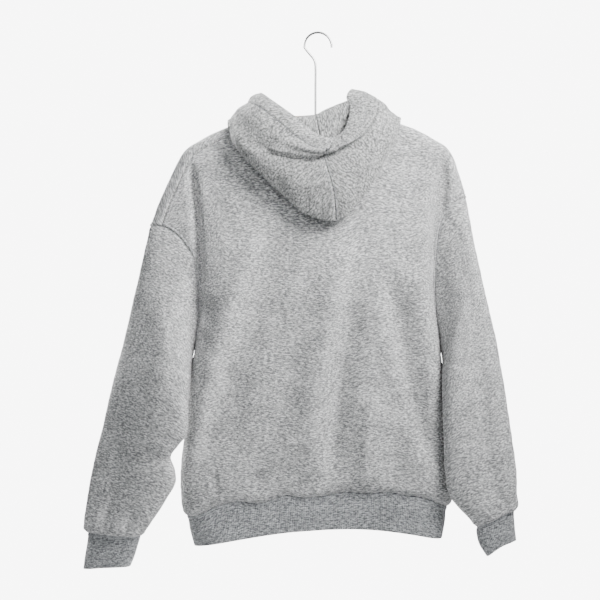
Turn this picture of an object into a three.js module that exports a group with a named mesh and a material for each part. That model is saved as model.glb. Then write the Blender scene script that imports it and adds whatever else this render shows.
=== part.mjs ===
// A fleece pullover hoodie hung on a plain coat hanger.
// Millimetres, +Z up. The origin is where a rail holds the hook, at the inside top of its loop.
// -Y points out of the garment's back, which hangs towards the viewer with the hood down on it.
// The garment's left is at -X. Every cloth piece is a thin wall, open inside.
import * as THREE from 'three';

// Driving sizes
const CLOTH = 2.4;          // fleece wall
const BAND_CLOTH = 3.0;     // folded rib of the hem band and the cuffs
const HOOD_HEM_EXTRA = 1.4; // a second layer along the hood's front edge
const SEAM_GAP = 0.36;      // clear space between two pieces at a seam
const WIRE = 4.0;           // hook wire diameter
const HOOK_LOOP = 24.5;     // radius of the hook's loop at the wire's middle
const ARM_CREST = -147;     // top of the hanger's arms at the middle
const ARM_REACH = 222;      // half length of the hanger
const ARM_DROOP = 22;       // fall of the arms at DROOP_AT from the middle
const DROOP_AT = 154;
const DROOP_POWER = 2.5;
const ARM_TILT = 0.0105;    // the hanger hangs a little low on the left
const ARM_HALF = 5.5;       // half thickness of the arms, front to back
const ARM_TALL = 19;        // height of the arms' section
const ARM_CLEAR = 1.1;      // cloth to hanger
const WRAP = 10.5;          // outer radius of the cloth bent over the arms
const LOBE_WRAP = 22;       // the same on the shoulder that hangs past the hanger
const ARMHOLE_END = 0.49;   // share of the panel's side edge that is armhole
const SEAM_SHIFT = 19;      // the garment hangs turned: its shoulder seams lie this far off the crest

// Colours of the finishes
const CLOTH_LOOK = { color: 0xb4b6b9, roughness: 0.95, metalness: 0 };
const RIB_LOOK = { color: 0xa9abae, roughness: 0.95, metalness: 0 };
const STEEL_LOOK = { color: 0x8d8b88, roughness: 0.35, metalness: 0.9 };
const WOOD_LOOK = { color: 0xd8c6a6, roughness: 0.6, metalness: 0 };

// Small helpers
const clamp = (value, low, high) => Math.min(high, Math.max(low, value));
const mix = (a, b, share) => a + (b - a) * share;
const smooth = (from, to, value) => {
  const share = clamp((value - from) / (to - from), 0, 1);
  return share * share * (3 - 2 * share);
};
const vec = (x, y, z) => new THREE.Vector3(x, y, z);

// Reads a table at a place along its key column, on a smooth curve through its rows.
function read(table, key, at, column) {
  const last = table.length - 1;
  let row = 0;
  while (row < last - 1 && at > table[row + 1][key]) row += 1;
  const a = table[row];
  const b = table[row + 1];
  const before = table[Math.max(row - 1, 0)];
  const after = table[Math.min(row + 2, last)];
  const span = b[key] - a[key];
  const share = clamp((at - a[key]) / span, 0, 1);
  const slopeA = ((b[column] - before[column]) / (b[key] - before[key])) * span;
  const slopeB = ((after[column] - a[column]) / (after[key] - a[key])) * span;
  const s2 = share * share;
  const s3 = s2 * share;
  return (2 * s3 - 3 * s2 + 1) * a[column] + (s3 - 2 * s2 + share) * slopeA
    + (3 * s2 - 2 * s3) * b[column] + (s3 - s2) * slopeB;
}
const readPoint = (table, key, at) => vec(
  read(table, key, at, 'x'), read(table, key, at, 'y'), read(table, key, at, 'z'));

// Top line of the hanger's arms, and of the cloth that lies on them
const armTop = (x) => ARM_CREST + ARM_TILT * x - ARM_DROOP * (Math.abs(x) / DROOP_AT) ** DROOP_POWER;
const armSlope = (x) => (armTop(x + 1) - armTop(x - 1)) / 2;
const clothTop = (x) => armTop(x) + (CLOTH + ARM_CLEAR) * Math.hypot(1, armSlope(x));

// Crest of the shoulders, from the middle out: along the arms, then hanging past their ends.
const CREST_ON_ARM = 0.7; // the share of the panel's half width that lies on the arm
const CREST_LEFT = [
  { u: 0.7, x: -222, z: -199.5 },
  { u: 0.76, x: -238, z: -213 },
  { u: 0.82, x: -253, z: -240 },
  { u: 0.88, x: -267, z: -270 },
  { u: 0.94, x: -283, z: -306 },
  { u: 1, x: -297, z: -344 },
];
const CREST_RIGHT = [
  { u: 0.7, x: 219, z: -193.5 },
  { u: 0.76, x: 235, z: -204.5 },
  { u: 0.82, x: 248, z: -225 },
  { u: 0.88, x: 256, z: -250 },
  { u: 0.94, x: 263, z: -272 },
  { u: 1, x: 269, z: -294 },
];

// Armhole and side seam of each side, by share of the panel's height
const SIDE_LEFT = [
  { v: 0, x: -297, z: -344 },
  { v: 0.05, x: -270, z: -350 },
  { v: 0.11, x: -243, z: -369 },
  { v: 0.2, x: -219, z: -407 },
  { v: 0.32, x: -211, z: -468 },
  { v: 0.41, x: -212, z: -518 },
  { v: ARMHOLE_END, x: -217, z: -566 },
  { v: 0.555, x: -225, z: -606 },
  { v: 0.62, x: -230, z: -642 },
  { v: 0.75, x: -235, z: -712 },
  { v: 0.88, x: -243, z: -785 },
  { v: 0.96, x: -241, z: -838 },
  { v: 1, x: -233, z: -866 },
];
const SIDE_RIGHT = [
  { v: 0, x: 269, z: -294 },
  { v: 0.05, x: 245, z: -308 },
  { v: 0.11, x: 225, z: -338 },
  { v: 0.2, x: 216, z: -390 },
  { v: 0.32, x: 214, z: -458 },
  { v: 0.41, x: 217, z: -512 },
  { v: ARMHOLE_END, x: 222, z: -561 },
  { v: 0.62, x: 231, z: -636 },
  { v: 0.75, x: 236, z: -706 },
  { v: 0.88, x: 243, z: -777 },
  { v: 0.96, x: 245, z: -824 },
  { v: 1, x: 236.5, z: -850 },
];

// Seam of the hem band, from the left side to the right: an arch, higher in the middle
const HEM_SEAM = [
  { u: -1, x: -233, z: -866 },
  { u: -0.75, x: -175, z: -850 },
  { u: -0.5, x: -117, z: -841 },
  { u: -0.25, x: -58, z: -834 },
  { u: 0, x: 0, z: -830 },
  { u: 0.25, x: 58, z: -827 },
  { u: 0.5, x: 116, z: -827 },
  { u: 0.75, x: 176, z: -833 },
  { u: 1, x: 236.5, z: -850 },
];

// Bottom edge of the hem band
const HEM_EDGE = [
  { u: -1, x: -218.5, z: -919 },
  { u: -0.75, x: -166, z: -908 },
  { u: -0.5, x: -111, z: -898 },
  { u: -0.25, x: -55, z: -890 },
  { u: 0, x: 3, z: -885 },
  { u: 0.25, x: 60, z: -883 },
  { u: 0.5, x: 116, z: -886 },
  { u: 0.75, x: 170, z: -894 },
  { u: 1, x: 226.5, z: -906 },
];

// Half depth of the body, back and front, by share of the panel's height
const DEPTH = [
  { v: 0, back: 10.5, front: 10.5 },
  { v: 0.05, back: 15, front: 17 },
  { v: 0.15, back: 24, front: 30 },
  { v: 0.3, back: 36, front: 42 },
  { v: 0.5, back: 46, front: 50 },
  { v: 0.75, back: 52, front: 54 },
  { v: 0.93, back: 54, front: 55 },
  { v: 0.975, back: 51, front: 52 },
  { v: 1, back: 45, front: 46 },
];
const ARMHOLE_DEPTH = 23;   // half depth of the armhole loop at its middle
const LEAST_DEPTH = 4.2;    // back and front never come closer to the middle plane
const SIDE_ROUNDING = 5;    // how squarely the body turns at its side seams
const FOLD_ROUNDING = 6;    // the same for the fading of the folds there
const ARMHOLE_FROM = 0.68;  // share of the half width from which a panel bends to the armhole's depth
const LOBE_END = 0.95;      // share of it by which the shoulder has its full wrap
const FOLDS_FROM = 1.6;     // folds have their full depth this many wraps below the crest

// Soft folds of a panel. Each runs from (x1, z1) through (xm, zm) to (x2, z2);
// rise is outward, so a trough is negative, and wide is its half width.
const BACK_FOLDS = [
  { x1: -226, z1: -222, xm: -204, zm: -372, x2: -214, z2: -560, rise: -19, wide: 14 },
  { x1: 234, z1: -212, xm: 216, zm: -360, x2: 224, z2: -560, rise: -20, wide: 12 },
  { x1: -48, z1: -330, xm: -128, zm: -520, x2: -205, z2: -810, rise: -11, wide: 26 },
  { x1: -92, z1: -330, xm: -158, zm: -520, x2: -222, z2: -760, rise: 6, wide: 24 },
  { x1: 62, z1: -350, xm: 8, zm: -600, x2: -22, z2: -812, rise: 9, wide: 34 },
  { x1: 66, z1: -500, xm: 38, zm: -650, x2: 20, z2: -815, rise: -8, wide: 20 },
  { x1: 130, z1: -440, xm: 160, zm: -600, x2: 212, z2: -790, rise: -7, wide: 20 },
  { x1: 90, z1: -700, xm: 86, zm: -760, x2: 80, z2: -822, rise: 7, wide: 17 },
  { x1: 140, z1: -690, xm: 136, zm: -760, x2: 130, z2: -818, rise: -7, wide: 15 },
  { x1: -192, z1: -470, xm: -196, zm: -520, x2: -200, z2: -566, rise: -10, wide: 13 },
  { x1: -36, z1: -716, xm: -68, zm: -752, x2: -104, z2: -790, rise: 6, wide: 12 },
];
const FRONT_FOLDS = [
  { x1: -232, z1: -220, xm: -206, zm: -372, x2: -204, z2: -560, rise: -11, wide: 15 },
  { x1: 232, z1: -212, xm: 208, zm: -360, x2: 208, z2: -560, rise: -11, wide: 15 },
  { x1: -60, z1: -300, xm: -112, zm: -520, x2: -150, z2: -800, rise: -9, wide: 28 },
  { x1: 40, z1: -330, xm: 76, zm: -540, x2: 120, z2: -806, rise: -10, wide: 28 },
  { x1: -4, z1: -400, xm: -14, zm: -600, x2: -30, z2: -806, rise: 8, wide: 34 },
  { x1: 150, z1: -470, xm: 176, zm: -640, x2: 190, z2: -800, rise: 6, wide: 22 },
  { x1: -186, z1: -560, xm: -190, zm: -680, x2: -196, z2: -806, rise: -7, wide: 18 },
  { x1: 30, z1: -720, xm: 34, zm: -770, x2: 36, z2: -818, rise: -6, wide: 14 },
];
const FOLD_FADE = 0.22; // share of a fold's length over which it fades in and out

// Gathers where the fleece puffs out over the hem band: from, full and until are shares of the
// panel's height, back and front move the row of puffs along
const PUFF = { from: 0.88, full: 0.97, until: 0.985, count: 9, rise: 3.2, back: 0.13, front: 0.4 };

function foldRise(folds, x, z) {
  let rise = 0;
  for (const fold of folds) {
    const down = (fold.z1 - z) / (fold.z1 - fold.z2);
    if (down > 0 && down < 1) {
      const share = (fold.z1 - fold.zm) / (fold.z1 - fold.z2);
      const bend = (fold.xm - mix(fold.x1, fold.x2, share)) / (share * (1 - share));
      const middle = mix(fold.x1, fold.x2, down) + bend * down * (1 - down);
      const fade = smooth(0, FOLD_FADE, down) * smooth(0, FOLD_FADE, 1 - down);
      rise += fold.rise * fade * Math.exp(-(((x - middle) / fold.wide) ** 2));
    }
  }
  return rise;
}

// The crest line at u, from -1 at the left armhole to 1 at the right one
function crest(u) {
  const far = Math.abs(u);
  const table = u < 0 ? CREST_LEFT : CREST_RIGHT;
  if (far >= CREST_ON_ARM) return vec(read(table, 'u', far, 'x'), 0, read(table, 'u', far, 'z'));
  const x = (table[0].x * far) / CREST_ON_ARM;
  return vec(x, 0, clothTop(x));
}

// How far a point of the X-Z plane is from the crest line
const CREST_STEPS = 80;
const CREST_LINE = [];
for (let i = 0; i <= CREST_STEPS; i += 1) CREST_LINE.push(crest(mix(-1, 1, i / CREST_STEPS)));
function fromCrest(x, z) {
  let least = Infinity;
  for (let i = 0; i < CREST_STEPS; i += 1) {
    const a = CREST_LINE[i];
    const b = CREST_LINE[i + 1];
    const dx = b.x - a.x;
    const dz = b.z - a.z;
    const share = clamp(((x - a.x) * dx + (z - a.z) * dz) / (dx * dx + dz * dz), 0, 1);
    least = Math.min(least, Math.hypot(x - a.x - share * dx, z - a.z - share * dz));
  }
  return least;
}

// A panel's outline in the X-Z plane, filled in between its four edges
function flatPoint(u, v) {
  const across = (u + 1) / 2;
  const top = crest(u);
  const bottom = vec(read(HEM_SEAM, 'u', u, 'x'), 0, read(HEM_SEAM, 'u', u, 'z'));
  const left = vec(read(SIDE_LEFT, 'v', v, 'x'), 0, read(SIDE_LEFT, 'v', v, 'z'));
  const right = vec(read(SIDE_RIGHT, 'v', v, 'x'), 0, read(SIDE_RIGHT, 'v', v, 'z'));
  const topLeft = crest(-1);
  const topRight = crest(1);
  const blend = (key) => mix(top[key], bottom[key], v) + mix(left[key], right[key], across)
    - mix(mix(topLeft[key], topRight[key], across),
      mix(HEM_SEAM[0][key], HEM_SEAM[HEM_SEAM.length - 1][key], across), v);
  return vec(blend('x'), 0, blend('z'));
}

// How far the cloth stands from the middle plane, back or front
function halfDepth(u, v, side) {
  const far = Math.abs(u);
  const flat = flatPoint(u, v);
  const body = read(DEPTH, 'v', v, side) * Math.sqrt(Math.max(0, 1 - far ** SIDE_ROUNDING));
  const around = clamp(1 - (2 * v) / ARMHOLE_END, -1, 1);
  const armhole = v < ARMHOLE_END ? ARMHOLE_DEPTH * Math.sqrt(1 - around * around) : 0;
  let depth = Math.hypot(body, armhole * smooth(ARMHOLE_FROM, 1, far));
  const off = fromCrest(flat.x, flat.z);
  const wrap = mix(WRAP, LOBE_WRAP, smooth(CREST_ON_ARM, LOBE_END, far));
  const puff = Math.sin(PUFF.count * Math.PI * (u + PUFF[side]));
  const inside = Math.sqrt(Math.max(0, 1 - far ** FOLD_ROUNDING));
  let shape = foldRise(side === 'back' ? BACK_FOLDS : FRONT_FOLDS, flat.x, flat.z);
  shape += PUFF.rise * puff * smooth(PUFF.from, PUFF.full, v) * smooth(1, PUFF.until, v);
  shape *= smooth(0, FOLDS_FROM, off / wrap) * (v < ARMHOLE_END ? 1 : inside);
  const floor = Math.min(depth, LEAST_DEPTH);
  depth = Math.max(floor, depth + shape);
  const round = clamp(1 - off / wrap, 0, 1);
  return depth * Math.sqrt(1 - round * round);
}

// A point of the body's outer surface. Past the crest (v < 0) and past a side seam (u beyond 1)
// it carries on round to the other side.
function bodyPoint(u, v, side) {
  const other = side === 'back' ? 'front' : 'back';
  if (v < 0) return bodyPoint(u, -v, other);
  if (Math.abs(u) > 1) return bodyPoint(Math.sign(u) * (2 - Math.abs(u)), v, other);
  const point = flatPoint(u, v);
  point.y = halfDepth(u, v, side) * (side === 'back' ? -1 : 1);
  return point;
}

// Where each panel's top edge runs. On the left the front panel comes over the crest to its seam,
// on the right the back panel does. The neckline starts at the inner end of that seam.
const NECK_CORNER = 0.33;
const NECK_OVER = 0.285;    // the crossing panel's neckline goes over the arm here
const NECK_BESIDE = 0.24;   // and comes down beside it here
const NECK_EDGE = 0.019;    // its place there
const NECK_DROP = { back: 0.062, front: 0.185 };
const NECK_ROUND = 0.8;     // 1 is a cosine, less is fuller
const isCrossing = (u, side) => (side === 'back') === (u > 0);
function seamPlace(u) {
  let low = 0;
  let high = 0.2;
  for (let pass = 0; pass < 20; pass += 1) {
    const half = (low + high) / 2;
    const flat = flatPoint(u, half);
    if (fromCrest(flat.x, flat.z) < SEAM_SHIFT) low = half;
    else high = half;
  }
  return low;
}
function panelTop(u, side) {
  const far = Math.abs(u);
  const crossing = isCrossing(u, side);
  const seam = seamPlace(u) * (crossing ? -1 : 1);
  if (far >= NECK_CORNER) return seam;
  if (crossing && far >= NECK_OVER) return (seam * (far - NECK_OVER)) / (NECK_CORNER - NECK_OVER);
  if (crossing && far > NECK_BESIDE) {
    return (NECK_EDGE * (NECK_OVER - far)) / (NECK_OVER - NECK_BESIDE);
  }
  const from = crossing ? NECK_BESIDE : NECK_CORNER;
  const dip = Math.cos((far / from) * (Math.PI / 2)) ** NECK_ROUND;
  return mix(crossing ? NECK_EDGE : seam, NECK_DROP[side], dip);
}

// Grid lines of the panels: one half of the columns, then the rows. The first rows of a panel that
// crosses over the crest are shares of its seam's distance from it, and one of them runs along it.
// The other panel's first rows are such shares down from its own top edge, and stand closer
// together where that edge reaches the crest.
const COLUMNS = [0, 0.08, 0.165, NECK_BESIDE, 0.264, 0.277, NECK_OVER, 0.293, 0.31, NECK_CORNER,
  0.4, 0.5, 0.6, 0.69, 0.77, 0.84, 0.9, 0.955, 1];
const OVER_CREST = [-1, -0.5, -0.15, 0, 0.15, 0.5, 1];
const AT_CREST = [0, 0.02, 0.05, 0.08, 0.2, 0.55, 1.05];
const BELOW_EDGE = [0, 0.15, 0.35, 0.6, 1, 1.5, 2];
const CREST_NEAR = 0.7;     // a top edge this share of a step away no longer counts as on the crest
const UPPER_ROWS = [0.11, 0.25, 0.41, 0.58, 0.74, 0.88, 1];
const LOWER_ROWS = [0.17, 0.35, 0.52, 0.68, 0.82, 0.92, 0.97, 1];
const END_ROW = OVER_CREST.length + UPPER_ROWS.length - 1;
const ROW_COUNT = END_ROW + 1 + LOWER_ROWS.length;
function rowPlace(u, row, side) {
  const start = panelTop(u, side);
  const step = seamPlace(u);
  const first = OVER_CREST.length;
  const place = (k) => {
    const away = smooth(0, CREST_NEAR, start / step);
    if (start >= 0) return start + step * mix(AT_CREST[k], BELOW_EDGE[k], away);
    return OVER_CREST[k] < 0 ? -start * OVER_CREST[k] : step * OVER_CREST[k];
  };
  if (row < first) return place(row);
  if (row <= END_ROW) return mix(place(first - 1), ARMHOLE_END, UPPER_ROWS[row - first]);
  return mix(ARMHOLE_END, 1, LOWER_ROWS[row - END_ROW - 1]);
}

// The outward direction of the body's surface
function bodyNormal(u, v, side) {
  const step = 0.004;
  const edge = v < ARMHOLE_END && Math.abs(u) > 1 - step;
  const uOut = edge && u > 0 ? u : u + step;
  const uIn = edge && u < 0 ? u : u - step;
  const vDown = v + step > 1 ? v : v + step;
  const across = bodyPoint(uOut, v, side).sub(bodyPoint(uIn, v, side));
  const down = bodyPoint(u, vDown, side).sub(bodyPoint(u, v - step, side));
  const normal = across.cross(down).normalize();
  return side === 'back' ? normal.negate() : normal;
}

// The sleeve's own outward direction on the armhole, and the one that it shares with the panel there
const SLEEVE_START = 0.035; // share of the sleeve used to take its direction
const UNDERARM = vec(0, 0, -1);
const sideOf = (angle) => ((angle + 2 * Math.PI) % (2 * Math.PI) < Math.PI ? 'back' : 'front');
const armholeShare = (angle) => (ARMHOLE_END * (1 - Math.cos(angle))) / 2;
const panelDirection = (u, angle) => {
  const v = Math.min(armholeShare(angle), ARMHOLE_END - 0.001);
  return bodyNormal(u, v, sideOf(angle));
};
function sleeveAlong(u, angle) {
  const shape = u < 0 ? [LEFT_SECTIONS, LEFT_SLEEVE_FOLDS] : [RIGHT_SECTIONS, RIGHT_SLEEVE_FOLDS];
  return sleevePoint(u, SLEEVE_START, angle, ...shape).sub(armholePoint(u, angle)).normalize();
}
function sleeveDirection(u, angle) {
  const step = 0.05;
  const around = armholePoint(u, angle + step).sub(armholePoint(u, angle - step));
  return sleeveAlong(u, angle).cross(around).normalize().multiplyScalar(-Math.sign(u));
}
function armholeNormal(u, angle) {
  if (Math.abs(Math.abs(angle) - Math.PI) < 1e-6) return UNDERARM.clone();
  return panelDirection(u, angle).add(sleeveDirection(u, angle)).normalize();
}

// Where the sleeve turns up from the panel, each keeps a little inside of its own face to part them
const ARMHOLE_SINK = 0.5;
const VALLEY_SLOPE = 0.4;
function armholeSink(u, angle) {
  return ARMHOLE_SINK * clamp(sleeveAlong(u, angle).dot(panelDirection(u, angle)) / VALLEY_SLOPE, 0, 1);
}

// A closed wall on a grid of surface points. rows[r][c] is a point, normals[r][c] the way out,
// thick(r, c) the wall there, taken inward. A ring grid closes on itself along each row.
function wall(rows, normals, thick, ring) {
  const height = rows.length;
  const width = rows[0].length;
  const positions = [];
  for (const inward of [0, 1]) {
    for (let r = 0; r < height; r += 1) {
      for (let c = 0; c < width; c += 1) {
        const p = rows[r][c].clone().addScaledVector(normals[r][c], -inward * thick(r, c));
        positions.push(p.x, p.y, p.z);
      }
    }
  }
  const index = [];
  const at = (layer, r, c) => layer * height * width + r * width + (c % width);
  const quad = (a, b, c, d) => index.push(a, b, c, a, c, d);
  const across = ring ? width : width - 1;
  const end = height - 1;
  const side = width - 1;
  for (let r = 0; r < height - 1; r += 1) {
    for (let c = 0; c < across; c += 1) {
      quad(at(0, r, c), at(0, r + 1, c), at(0, r + 1, c + 1), at(0, r, c + 1));
      quad(at(1, r, c), at(1, r, c + 1), at(1, r + 1, c + 1), at(1, r + 1, c));
    }
  }
  for (let c = 0; c < across; c += 1) {
    quad(at(0, 0, c), at(0, 0, c + 1), at(1, 0, c + 1), at(1, 0, c));
    quad(at(0, end, c), at(1, end, c), at(1, end, c + 1), at(0, end, c + 1));
  }
  if (!ring) {
    for (let r = 0; r < height - 1; r += 1) {
      quad(at(0, r, 0), at(1, r, 0), at(1, r + 1, 0), at(0, r + 1, 0));
      quad(at(0, r, side), at(0, r + 1, side), at(1, r + 1, side), at(1, r, side));
    }
  }
  return outward(positions, index);
}

// Makes the geometry, with its faces turned out
function outward(positions, index) {
  let volume = 0;
  const corner = (i) => vec(positions[3 * i], positions[3 * i + 1], positions[3 * i + 2]);
  for (let i = 0; i < index.length; i += 3) {
    volume += corner(index[i]).dot(corner(index[i + 1]).cross(corner(index[i + 2])));
  }
  if (volume < 0) {
    for (let i = 0; i < index.length; i += 3) [index[i], index[i + 1]] = [index[i + 1], index[i]];
  }
  const geometry = new THREE.BufferGeometry();
  geometry.setAttribute('position', new THREE.Float32BufferAttribute(positions, 3));
  geometry.setIndex(index);
  geometry.computeVertexNormals();
  return geometry;
}

// Outward directions of a grid from its own points
function gridNormals(rows, ring, flip) {
  const height = rows.length;
  const width = rows[0].length;
  return rows.map((row, r) => row.map((_, c) => {
    const up = rows[Math.max(r - 1, 0)][c];
    const down = rows[Math.min(r + 1, height - 1)][c];
    const left = ring ? row[(c + width - 1) % width] : row[Math.max(c - 1, 0)];
    const right = ring ? row[(c + 1) % width] : row[Math.min(c + 1, width - 1)];
    const normal = down.clone().sub(up).cross(right.clone().sub(left)).normalize();
    return flip ? normal.negate() : normal;
  }));
}

// Moves an edge point back towards its own piece by half of the seam gap
function pullBack(point, towards, gap) {
  const way = towards.clone().sub(point);
  return point.clone().addScaledVector(way.normalize(), gap / 2);
}
function openSeams(rows, edges) {
  const end = rows.length - 1;
  const width = rows[0].length;
  const side = width - 1;
  const grid = rows.map((row) => row.map((p) => p.clone()));
  for (let c = 0; c < width; c += 1) {
    if (edges.top) grid[0][c] = pullBack(rows[0][c], rows[1][c], edges.top);
    if (edges.bottom) grid[end][c] = pullBack(rows[end][c], rows[end - 1][c], edges.bottom);
  }
  for (let r = 0; r <= end; r += 1) {
    if (edges.left) grid[r][0] = pullBack(grid[r][0], grid[r][1], edges.left);
    if (edges.right) grid[r][side] = pullBack(grid[r][side], grid[r][side - 1], edges.right);
  }
  return grid;
}

// Front and back panels
const COLUMN_PLACES = [...COLUMNS.slice(1).reverse().map((u) => -u), ...COLUMNS];
function panel(side) {
  const rows = [];
  const normals = [];
  for (let r = 0; r < ROW_COUNT; r += 1) {
    rows.push(COLUMN_PLACES.map((u) => bodyPoint(u, rowPlace(u, r, side), side)));
    normals.push(COLUMN_PLACES.map((u) => {
      const v = rowPlace(u, r, side);
      if (Math.abs(u) === 1 && v <= ARMHOLE_END) return armholeNormal(u, panelAngle(v, side));
      return v < 0 ? bodyNormal(u, -v, side === 'back' ? 'front' : 'back') : bodyNormal(u, v, side);
    }));
  }
  const grid = openSeams(rows, { top: SEAM_GAP, bottom: SEAM_GAP, left: SEAM_GAP, right: SEAM_GAP });
  for (let r = 0; r <= END_ROW; r += 1) {
    for (const u of [-1, 1]) {
      const angle = panelAngle(rowPlace(u, r, side), side);
      const point = grid[r][u < 0 ? 0 : COLUMN_PLACES.length - 1];
      point.addScaledVector(panelDirection(u, angle), -armholeSink(u, angle));
    }
  }
  return wall(grid, normals, () => CLOTH, false);
}

// Sleeves. Each row is a section: o is the outer (top) fold and i the inner (underarm) one, with
// y the place of each fold front to back; back and front are half depths, and ridge is where the
// back face stands out most, from -1 at the inner fold to 1 at the outer one.
const LEFT_SECTIONS = [
  { t: 0, ox: -297, oy: 0, oz: -344, ix: -217, iy: 0, iz: -566, back: 23, front: 23, ridge: 0 },
  { t: 0.06, ox: -306, oy: 4, oz: -377, ix: -222, iy: -5, iz: -577, back: 28, front: 24, ridge: -0.1 },
  { t: 0.12, ox: -316, oy: 8, oz: -416, ix: -221, iy: -14, iz: -592, back: 33, front: 25, ridge: -0.15 },
  { t: 0.2, ox: -327, oy: 12, oz: -465, ix: -223, iy: -28, iz: -614, back: 35, front: 25, ridge: -0.15 },
  { t: 0.3, ox: -342, oy: 16, oz: -527, ix: -225, iy: -38, iz: -645, back: 36, front: 25, ridge: -0.1 },
  { t: 0.4, ox: -358, oy: 18, oz: -588, ix: -226, iy: -43, iz: -680, back: 36, front: 25, ridge: -0.05 },
  { t: 0.5, ox: -373, oy: 18, oz: -650, ix: -228, iy: -44, iz: -714, back: 35, front: 25, ridge: -0.05 },
  { t: 0.58, ox: -385, oy: 18, oz: -700, ix: -245, iy: -41, iz: -738, back: 32, front: 25, ridge: -0.15 },
  { t: 0.64, ox: -395, oy: 17, oz: -740, ix: -257, iy: -37, iz: -757, back: 28, front: 24, ridge: -0.3 },
  { t: 0.7, ox: -403, oy: 16, oz: -776, ix: -249, iy: -38, iz: -780, back: 27, front: 24, ridge: -0.45 },
  { t: 0.76, ox: -409, oy: 15, oz: -808, ix: -248, iy: -38, iz: -804, back: 27, front: 24, ridge: -0.45 },
  { t: 0.83, ox: -415, oy: 14, oz: -842, ix: -266, iy: -36, iz: -834, back: 26, front: 23, ridge: -0.4 },
  { t: 0.9, ox: -418, oy: 12, oz: -868, ix: -287, iy: -32, iz: -866, back: 25, front: 22, ridge: -0.3 },
  { t: 0.96, ox: -419, oy: 10, oz: -889, ix: -304, iy: -26, iz: -889, back: 24, front: 21, ridge: -0.2 },
  { t: 1, ox: -413, oy: 9, oz: -900, ix: -312, iy: -22, iz: -899, back: 20, front: 18, ridge: -0.1 },
];
const RIGHT_SECTIONS = [
  { t: 0, ox: 269, oy: 0, oz: -294, ix: 221, iy: 0, iz: -561, back: 23, front: 23, ridge: 0 },
  { t: 0.06, ox: 274, oy: -3, oz: -322, ix: 226, iy: -5, iz: -574, back: 25, front: 24, ridge: 0 },
  { t: 0.12, ox: 280, oy: -5, oz: -358, ix: 226, iy: -15, iz: -590, back: 26, front: 24, ridge: 0 },
  { t: 0.2, ox: 290, oy: -8, oz: -408, ix: 223, iy: -29, iz: -614, back: 27, front: 24, ridge: 0 },
  { t: 0.3, ox: 305, oy: -10, oz: -477, ix: 222, iy: -39, iz: -645, back: 27, front: 24, ridge: 0 },
  { t: 0.4, ox: 321, oy: -12, oz: -545, ix: 222, iy: -44, iz: -684, back: 27, front: 24, ridge: 0 },
  { t: 0.5, ox: 332, oy: -13, oz: -608, ix: 224, iy: -46, iz: -724, back: 27, front: 24, ridge: 0 },
  { t: 0.58, ox: 341, oy: -14, oz: -662, ix: 224, iy: -48, iz: -760, back: 27, front: 24, ridge: 0 },
  { t: 0.66, ox: 348, oy: -15, oz: -714, ix: 226, iy: -49, iz: -788, back: 27, front: 24, ridge: 0 },
  { t: 0.74, ox: 354, oy: -15, oz: -757, ix: 230, iy: -48, iz: -814, back: 27, front: 24, ridge: 0 },
  { t: 0.82, ox: 358, oy: -15, oz: -796, ix: 240, iy: -46, iz: -834, back: 27, front: 24, ridge: 0 },
  { t: 0.9, ox: 357, oy: -15, oz: -828, ix: 259, iy: -42, iz: -853, back: 25, front: 22, ridge: 0 },
  { t: 0.96, ox: 357, oy: -15, oz: -845, ix: 275, iy: -38, iz: -869, back: 23, front: 20, ridge: 0 },
  { t: 1, ox: 354, oy: -15, oz: -853, ix: 284, iy: -35, iz: -880, back: 19, front: 17, ridge: 0 },
];
// Cuffs: the same. The lower edge is raised half way between its folds.
const LEFT_CUFF = [
  { t: 0, ox: -413, oy: 9, oz: -900, ix: -312, iy: -22, iz: -899, back: 20, front: 18, ridge: -0.1 },
  { t: 0.12, ox: -413, oy: 9, oz: -908, ix: -314, iy: -21, iz: -906, back: 18, front: 16, ridge: -0.1 },
  { t: 0.5, ox: -416, oy: 8, oz: -932, ix: -321, iy: -18, iz: -929, back: 17, front: 15, ridge: 0 },
  { t: 1, ox: -420, oy: 7, oz: -963, ix: -331, iy: -15, iz: -954, back: 16, front: 15, ridge: 0 },
];
const RIGHT_CUFF = [
  { t: 0, ox: 354, oy: -15, oz: -853, ix: 284, iy: -35, iz: -880, back: 19, front: 17, ridge: 0 },
  { t: 0.12, ox: 353, oy: -15, oz: -861, ix: 283, iy: -34, iz: -889, back: 17, front: 15, ridge: 0 },
  { t: 0.5, ox: 355, oy: -14, oz: -883, ix: 288, iy: -30, iz: -910, back: 16, front: 14, ridge: 0 },
  { t: 1, ox: 358, oy: -12, oz: -908, ix: 302, iy: -26, iz: -934, back: 15, front: 14, ridge: 0 },
];
const LEFT_CUFF_LIFT = 2;
const RIGHT_CUFF_LIFT = 6;
const RIDGE_SHARP = 1.5;    // shape of the back outside the ridge: 1 is flat and 2 is round
const RIDGE_FROM = 0.125;   // a ridge this far from the middle has that shape in full
const FACE_SQUARE = 3.2;    // shape of the rest, from the share SQUARE_FROM of the length on
const SQUARE_FROM = 0.2;

// Soft folds of the sleeves: t and around are the middle, in shares of the length and of the width
const LEFT_SLEEVE_FOLDS = [
  { t: 0.66, wide: 0.035, face: -0.75, spread: 0.5, rise: -7 },
  { t: 0.88, wide: 0.09, face: 0.35, spread: 0.16, rise: -6 },
  { t: 0.9, wide: 0.06, face: -0.35, spread: 0.14, rise: -4 },
  { t: 0.74, wide: 0.05, face: -0.3, spread: 0.4, rise: 4 },
];
const RIGHT_SLEEVE_FOLDS = [
  { t: 0.62, wide: 0.24, face: 0.25, spread: 0.24, rise: -6 },
  { t: 0.9, wide: 0.07, face: -0.3, spread: 0.2, rise: 4 },
  { t: 0.93, wide: 0.05, face: 0.45, spread: 0.14, rise: -4 },
];

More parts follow.
